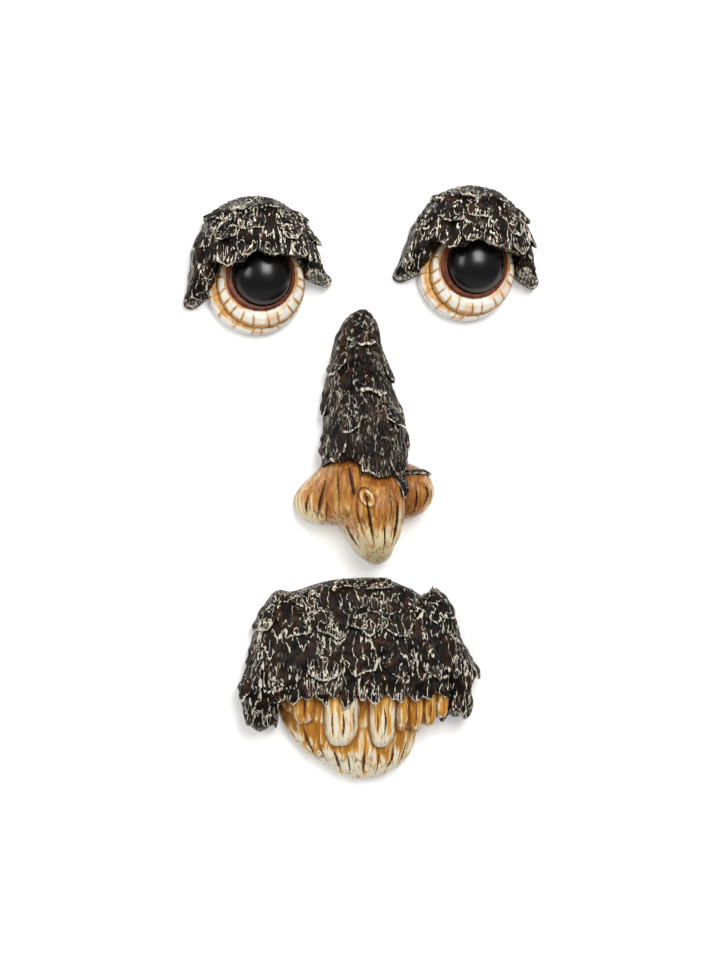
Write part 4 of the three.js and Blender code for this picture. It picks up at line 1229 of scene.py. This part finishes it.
class Recipe:
    """A material's nodes, added one by one. A value that is a socket is linked, and any other is set."""

    def __init__(self, name):
        self.material = bpy.data.materials.new(name)
        self.material.use_nodes = True
        self.tree = self.material.node_tree
        self.shader = self.tree.nodes["Principled BSDF"]
        self.place = self.add("ShaderNodeTexCoord").outputs["Object"]

    def put(self, node, inputs):
        """Links or sets each of a node's inputs, given by name or number."""
        for key, value in inputs.items():
            if isinstance(value, bpy.types.NodeSocket):
                self.tree.links.new(value, node.inputs[key])
            else:
                node.inputs[key].default_value = value

    def add(self, kind, inputs=None, **settings):
        """A new node with its settings and inputs."""
        node = self.tree.nodes.new(kind)
        for key, value in settings.items():
            setattr(node, key, value)
        self.put(node, inputs or {})
        return node

    def attribute(self, name):
        """A painted value of the mesh."""
        return self.add("ShaderNodeAttribute", attribute_name=name).outputs["Fac"]

    def noise(self, scale, detail=4.0, stretch=(1, 1, 1), offset=(0, 0, 0)):
        """Noise with about as many blotches in a metre as scale, drawn out along an axis where stretch is
        small."""
        mapping = self.add("ShaderNodeMapping", {"Vector": self.place, "Scale": stretch, "Location": offset})
        inputs = {"Vector": mapping.outputs["Vector"], "Scale": scale, "Detail": detail}
        return self.add("ShaderNodeTexNoise", inputs).outputs["Fac"]

    def spread(self, value, low, high, to_low=0.0, to_high=1.0):
        """The value's span from low to high, spread over another span and held there."""
        inputs = {"Value": value, "From Min": low, "From Max": high, "To Min": to_low, "To Max": to_high}
        return self.add("ShaderNodeMapRange", inputs, interpolation_type="SMOOTHSTEP").outputs["Result"]

    def wandering_line(self, scale, stretch, sure, gone):
        """Thin lines where a noise is near its middle value: 1 within sure of it and 0 past gone."""
        from_middle = self.math("SUBTRACT", self.noise(scale, 2.0, stretch, (2, 0, 5)), 0.5)
        return self.spread(self.math("ABSOLUTE", from_middle, 0.0), sure, gone, 1.0, 0.0)

    def math(self, operation, a, b):
        """One sum on two values."""
        return self.add("ShaderNodeMath", {0: a, 1: b}, operation=operation).outputs[0]

    def blend(self, share, under, over):
        """A coat of colour laid over another by a share. The node has sockets for numbers, directions and
        colours under the same names, so its colour sockets are found by their identifiers."""
        node = self.add("ShaderNodeMix", data_type="RGBA")
        place = {socket.identifier: i for i, socket in enumerate(node.inputs)}
        self.put(node, {place["Factor_Float"]: share, place["A_Color"]: under, place["B_Color"]: over})
        return next(socket for socket in node.outputs if socket.identifier == "Result_Color")


print("Mid grey on the even scale:", round(paint("808080")[0], 3))

# %% [markdown]
# ## Painted resin
# One recipe serves all the castings. Bark gets a near-black base with warm patches, and cream on its ridges
# and on the broken tips. Wood gets a stain that pales with the painted value, hairlines and dark cracks. The
# socket is cream with brown in its notches, and the ring round the pupil is red-brown. The brush stops about
# a millimetre in front of the flat backs, which are bare resin.

# %% Painted resin
BARK_BLACK, BARK_BROWN, BARK_WARM = paint("0c0806"), paint("24180f"), paint("432b1b")
DRY_BRUSH = paint("efe6d2")
SOCKET_CREAM, SOCKET_OCHRE, SOCKET_LINE = paint("f2ede2"), paint("d6a054"), paint("7c4c20")
IRIS_BROWN, IRIS_DARK = paint("7a3a20"), paint("552614")
BARE_RESIN = paint("2c221a"), paint("3e3228")
BRUSH_STOPS = -0.0012, -0.0004


def bark_coats(r, brush):
    """Near-black with brown patches and black painted shade where the bark lies low, then cream along the
    rims of plates, on thin wandering lines and on some ridges, everywhere broken up as a dry brush leaves it.
    Brush holds the weakest line that shows, the one that shows in full, and how well the cream covers."""
    ridge, edge = r.attribute("ridge"), r.attribute("edge")
    bark = r.blend(r.spread(r.noise(90), 0.42, 0.62), BARK_BLACK, BARK_BROWN)
    bark = r.blend(r.spread(r.noise(150, offset=(3, 1, 2)), 0.52, 0.7, 0.0, 0.8), bark, BARK_WARM)
    # Painted shade: the bark goes black where it lies low among whole plates and in cracks, a wash that
    # darkens the hollows as shade would.
    bark = r.blend(r.spread(edge, -0.1, -0.9), bark, BARK_BLACK)
    broken = r.spread(r.noise(520, 4.0, (1, 1, 0.5)), 0.42, 0.56)
    region = r.spread(r.noise(55, 2.0, offset=(5, 5, 5)), 0.44, 0.62, 0.08, 1.0)
    thin = r.wandering_line(330, (1, 1, 0.15), 0.006, 0.032)
    thick = r.wandering_line(170, (1, 1, 0.2), 0.008, 0.026)
    raised = r.math("MULTIPLY", region, r.spread(ridge, -0.14, 0.02))
    veins = r.math("MAXIMUM", r.math("MULTIPLY", thin, raised), r.math("MULTIPLY", thick, broken))
    rims = r.math("MULTIPLY", r.spread(r.attribute("rim"), 0.5, 0.85), r.spread(edge, -0.1, 0.4))
    rims = r.math("MULTIPLY", rims, r.math("MAXIMUM", broken, r.math("MULTIPLY", region, 0.5)))
    brushed = r.math("MULTIPLY", r.spread(ridge, 0.17, 0.3), r.math("MULTIPLY", broken, region))
    least, full, cover = brush
    lines = r.spread(r.math("MAXIMUM", veins, brushed), least, full, 0.0, cover)
    return r.blend(r.math("MAXIMUM", r.math("MULTIPLY", rims, 0.95), lines), bark, DRY_BRUSH)


def wood_coats(r, streaks, dark, middle, light, low, line):
    """Three stains, dark to light, by the painted paleness and streaks along the grain, then a wash with
    painted shade in the hollows, hairlines and painted shade in the fine grooves, and dark brown in the
    cracks."""
    ridge, edge = r.attribute("ridge"), r.attribute("edge")
    fine = r.spread(r.noise(520, 3.0, (1, 1, 0.06)), 0.3, 0.7, -0.24 * streaks, 0.24 * streaks)
    broad = r.spread(r.noise(190, 3.0, (1, 1, 0.12), (6, 0, 1)), 0.3, 0.7, -0.2 * streaks, 0.2 * streaks)
    pale = r.math("ADD", r.attribute("pale"), r.math("ADD", fine, broad))
    wood = r.blend(r.spread(pale, -0.05, 0.4), dark, middle)
    wood = r.blend(r.spread(pale, 0.4, 0.85), wood, light)
    # Painted shade: the hollows and the gaps between teeth take the low stain, a wash that darkens them as
    # shade would.
    wood = r.blend(r.spread(edge, -0.3, -1.0, 0.0, 0.85), wood, low)
    hairlines_and_groove_shade = r.wandering_line(240, (1, 1, 0.05), 0.0, 0.03 * streaks)
    hairlines_and_groove_shade = r.math("MULTIPLY", hairlines_and_groove_shade, r.spread(r.noise(70, 2.0, offset=(1, 4, 0)), 0.46, 0.6, 0.0, 0.75))
    # Painted shade: the fine grooves between ridges also take the low stain.
    hairlines_and_groove_shade = r.math("MAXIMUM", hairlines_and_groove_shade, r.spread(ridge, -0.08, -0.22, 0.0, 0.5))
    wood = r.blend(hairlines_and_groove_shade, wood, low)
    return r.blend(r.spread(r.attribute("line"), 0.3, 0.8), wood, line)


def socket_coats(r):
    """Cream, stained ochre in blotches and beside the lines, with brown lines in the notches and the
    groove."""
    line = r.math("ADD", r.attribute("line"), r.spread(r.noise(260), 0.35, 0.65, -0.1, 0.1))
    blotch = r.spread(r.noise(95, offset=(7, 0, 4)), 0.5, 0.68, 0.0, 0.5)
    socket = r.blend(r.math("MAXIMUM", blotch, r.spread(line, 0.04, 0.32)), SOCKET_CREAM, SOCKET_OCHRE)
    return r.blend(r.spread(line, 0.45, 0.8), socket, SOCKET_LINE)


def painted_resin(name, brush, streaks, stains):
    """Bark, wood, socket and ring in one material, each where the mesh is painted so. The back is bare."""
    r = Recipe(name)
    ring = r.blend(r.spread(r.noise(300), 0.35, 0.65), IRIS_BROWN, IRIS_DARK)
    wood = wood_coats(r, streaks, *(paint(code) for code in stains))
    colour = r.blend(r.spread(r.attribute("wood"), 0.35, 0.65), bark_coats(r, brush), wood)
    colour = r.blend(r.spread(r.attribute("socket"), 0.35, 0.65), colour, socket_coats(r))
    colour = r.blend(r.spread(r.attribute("iris"), 0.35, 0.65), colour, ring)
    bare = r.spread(r.add("ShaderNodeSeparateXYZ", {"Vector": r.place}).outputs["Y"], *BRUSH_STOPS)
    colour = r.blend(bare, colour, r.blend(r.noise(60), *BARE_RESIN))
    shine = r.spread(r.noise(260, 4.0), 0.3, 0.7, 0.3, 0.48)
    eye_parts = r.math("MAXIMUM", r.attribute("socket"), r.attribute("iris"))
    plain = r.math("MAXIMUM", eye_parts, r.attribute("wood"))
    lumps = r.math("MULTIPLY", r.noise(430, 4.0, (1, 1, 0.35)), r.spread(plain, 0.0, 1.0, 1.0, 0.2))
    bump = r.add("ShaderNodeBump", {"Height": lumps, "Strength": 0.8, "Distance": 0.0012})
    gloss = r.spread(plain, 0.0, 1.0, 0.12, 0.3)
    r.put(r.shader, {"Base Color": colour, "Roughness": shine, "Normal": bump.outputs["Normal"],
                     "Specular IOR Level": gloss})
    return r.material


def polished_black(name):
    """Black lacquer, rubbed to a soft gloss that is a little uneven."""
    r = Recipe(name)
    rubbed = r.spread(r.noise(90), 0.35, 0.7, 0.22, 0.28)
    tone = r.blend(r.noise(50), paint("040405"), paint("09090b"))
    r.put(r.shader, {"Base Color": tone, "Roughness": rubbed, "Specular IOR Level": 0.4})
    return r.material


# Each set is dark, middle and light wood, the low stain of the wash and painted shade in the hollows, and the
# brown of the cracks.
EYE_STAINS = ("b98a4c", "d8b47c", "efe9dc", "8a5a26", "5a3212")
NOSE_STAINS = ("965a26", "c2873f", "ecd9ab", "6a3d18", "351b0b")
MOUTH_STAINS = ("b8782a", "daa045", "f1e8cd", "8e5a20", "60330f")
eye_resin = painted_resin("painted_eye_resin", brush=(0.42, 0.78, 1), streaks=1, stains=EYE_STAINS)
nose_resin = painted_resin("painted_nose_resin", brush=(0, 1, 0.45), streaks=1, stains=NOSE_STAINS)
mouth_resin = painted_resin("painted_mouth_resin", brush=(0.1, 0.85, 0.85), streaks=2, stains=MOUTH_STAINS)
black = polished_black("polished_black")
for piece, material in (
    (left_eye, eye_resin), (right_eye, eye_resin), (nose, nose_resin), (mouth, mouth_resin),
    (left_pupil, black), (right_pupil, black),
):
    piece.data.materials.clear()
    piece.data.materials.append(material)
print("Materials:", [m.name for m in (eye_resin, nose_resin, mouth_resin, black)])

# %% [markdown]
# ## Studio
# The castings hang in front of a white wall. The wall only shows from its front, so that the backs can be
# looked at too. Two soft boxes stand left and right of the camera, where the photograph shows their
# reflections in the pupils, and the white room fills the shadows.

# %% Studio
WALL_GAP, WALL_TOP = 0.0015, 3
FLOOR_LEVEL, FLOOR_REACH = -1.1, 1.5
HALF_WIDTH = 3
ROOM_LIGHT = 0.27


def flat_sheet(name, corners, material):
    """A single four-sided face."""
    mesh = bpy.data.meshes.new(name)
    mesh.from_pydata(corners, [], [(0, 1, 2, 3)])
    mesh.materials.append(material)
    sheet = shown(name, mesh)
    return sheet


def pale_paper(name, tones, one_sided, glow):
    """Matt paper with a glow of its own, and clear from behind where it is one-sided."""
    r = Recipe(name)
    tone = r.blend(r.noise(3), *(paint(code) for code in tones))
    r.put(r.shader, {"Base Color": tone, "Emission Color": tone, "Emission Strength": glow, "Roughness": 0.9})
    if one_sided:
        behind = r.add("ShaderNodeNewGeometry").outputs["Backfacing"]
        clear = r.add("ShaderNodeBsdfTransparent").outputs[0]
        both = r.add("ShaderNodeMixShader", {0: behind, 1: r.shader.outputs[0], 2: clear})
        r.tree.links.new(both.outputs[0], r.tree.nodes["Material Output"].inputs["Surface"])
    return r.material


flat_sheet(
    "wall",
    [(-HALF_WIDTH, WALL_GAP, FLOOR_LEVEL), (HALF_WIDTH, WALL_GAP, FLOOR_LEVEL),
     (HALF_WIDTH, WALL_GAP, WALL_TOP), (-HALF_WIDTH, WALL_GAP, WALL_TOP)],
    pale_paper("wall_paper", ("fbfbfa", "ffffff"), one_sided=True, glow=0.24),
)
flat_sheet(
    "floor",
    [(-HALF_WIDTH, -FLOOR_REACH, FLOOR_LEVEL), (HALF_WIDTH, -FLOOR_REACH, FLOOR_LEVEL),
     (HALF_WIDTH, FLOOR_REACH, FLOOR_LEVEL), (-HALF_WIDTH, FLOOR_REACH, FLOOR_LEVEL)],
    pale_paper("floor_paper", ("d6d4d0", "dedcd8"), one_sided=False, glow=0.0),
)


def soft_box(name, side, up, distance, width, height, power):
    """A rectangular light that many degrees to the right of the camera and above it, facing the nose."""
    data = bpy.data.lights.new(name, "AREA")
    data.shape, data.size, data.size_y, data.energy = "RECTANGLE", width, height, power
    return aimed_at_target(name, data, AZIMUTH + side, ELEVATION + up, distance)


soft_boxes = [
    soft_box("left_soft_box", side=-38, up=14, distance=1.3, width=0.4, height=0.55, power=4.5),
    soft_box("right_soft_box", side=18, up=24, distance=1.3, width=0.5, height=0.6, power=12),
]
world = bpy.data.worlds.new("white_room")
world.use_nodes = True
background = world.node_tree.nodes["Background"]
background.inputs["Color"].default_value = (1, 1, 1, 1)
background.inputs["Strength"].default_value = ROOM_LIGHT
bpy.context.scene.world = world
bpy.context.scene.view_settings.view_transform = "Standard"
print("Soft boxes in watts:", {light.name: light.data.energy for light in soft_boxes})
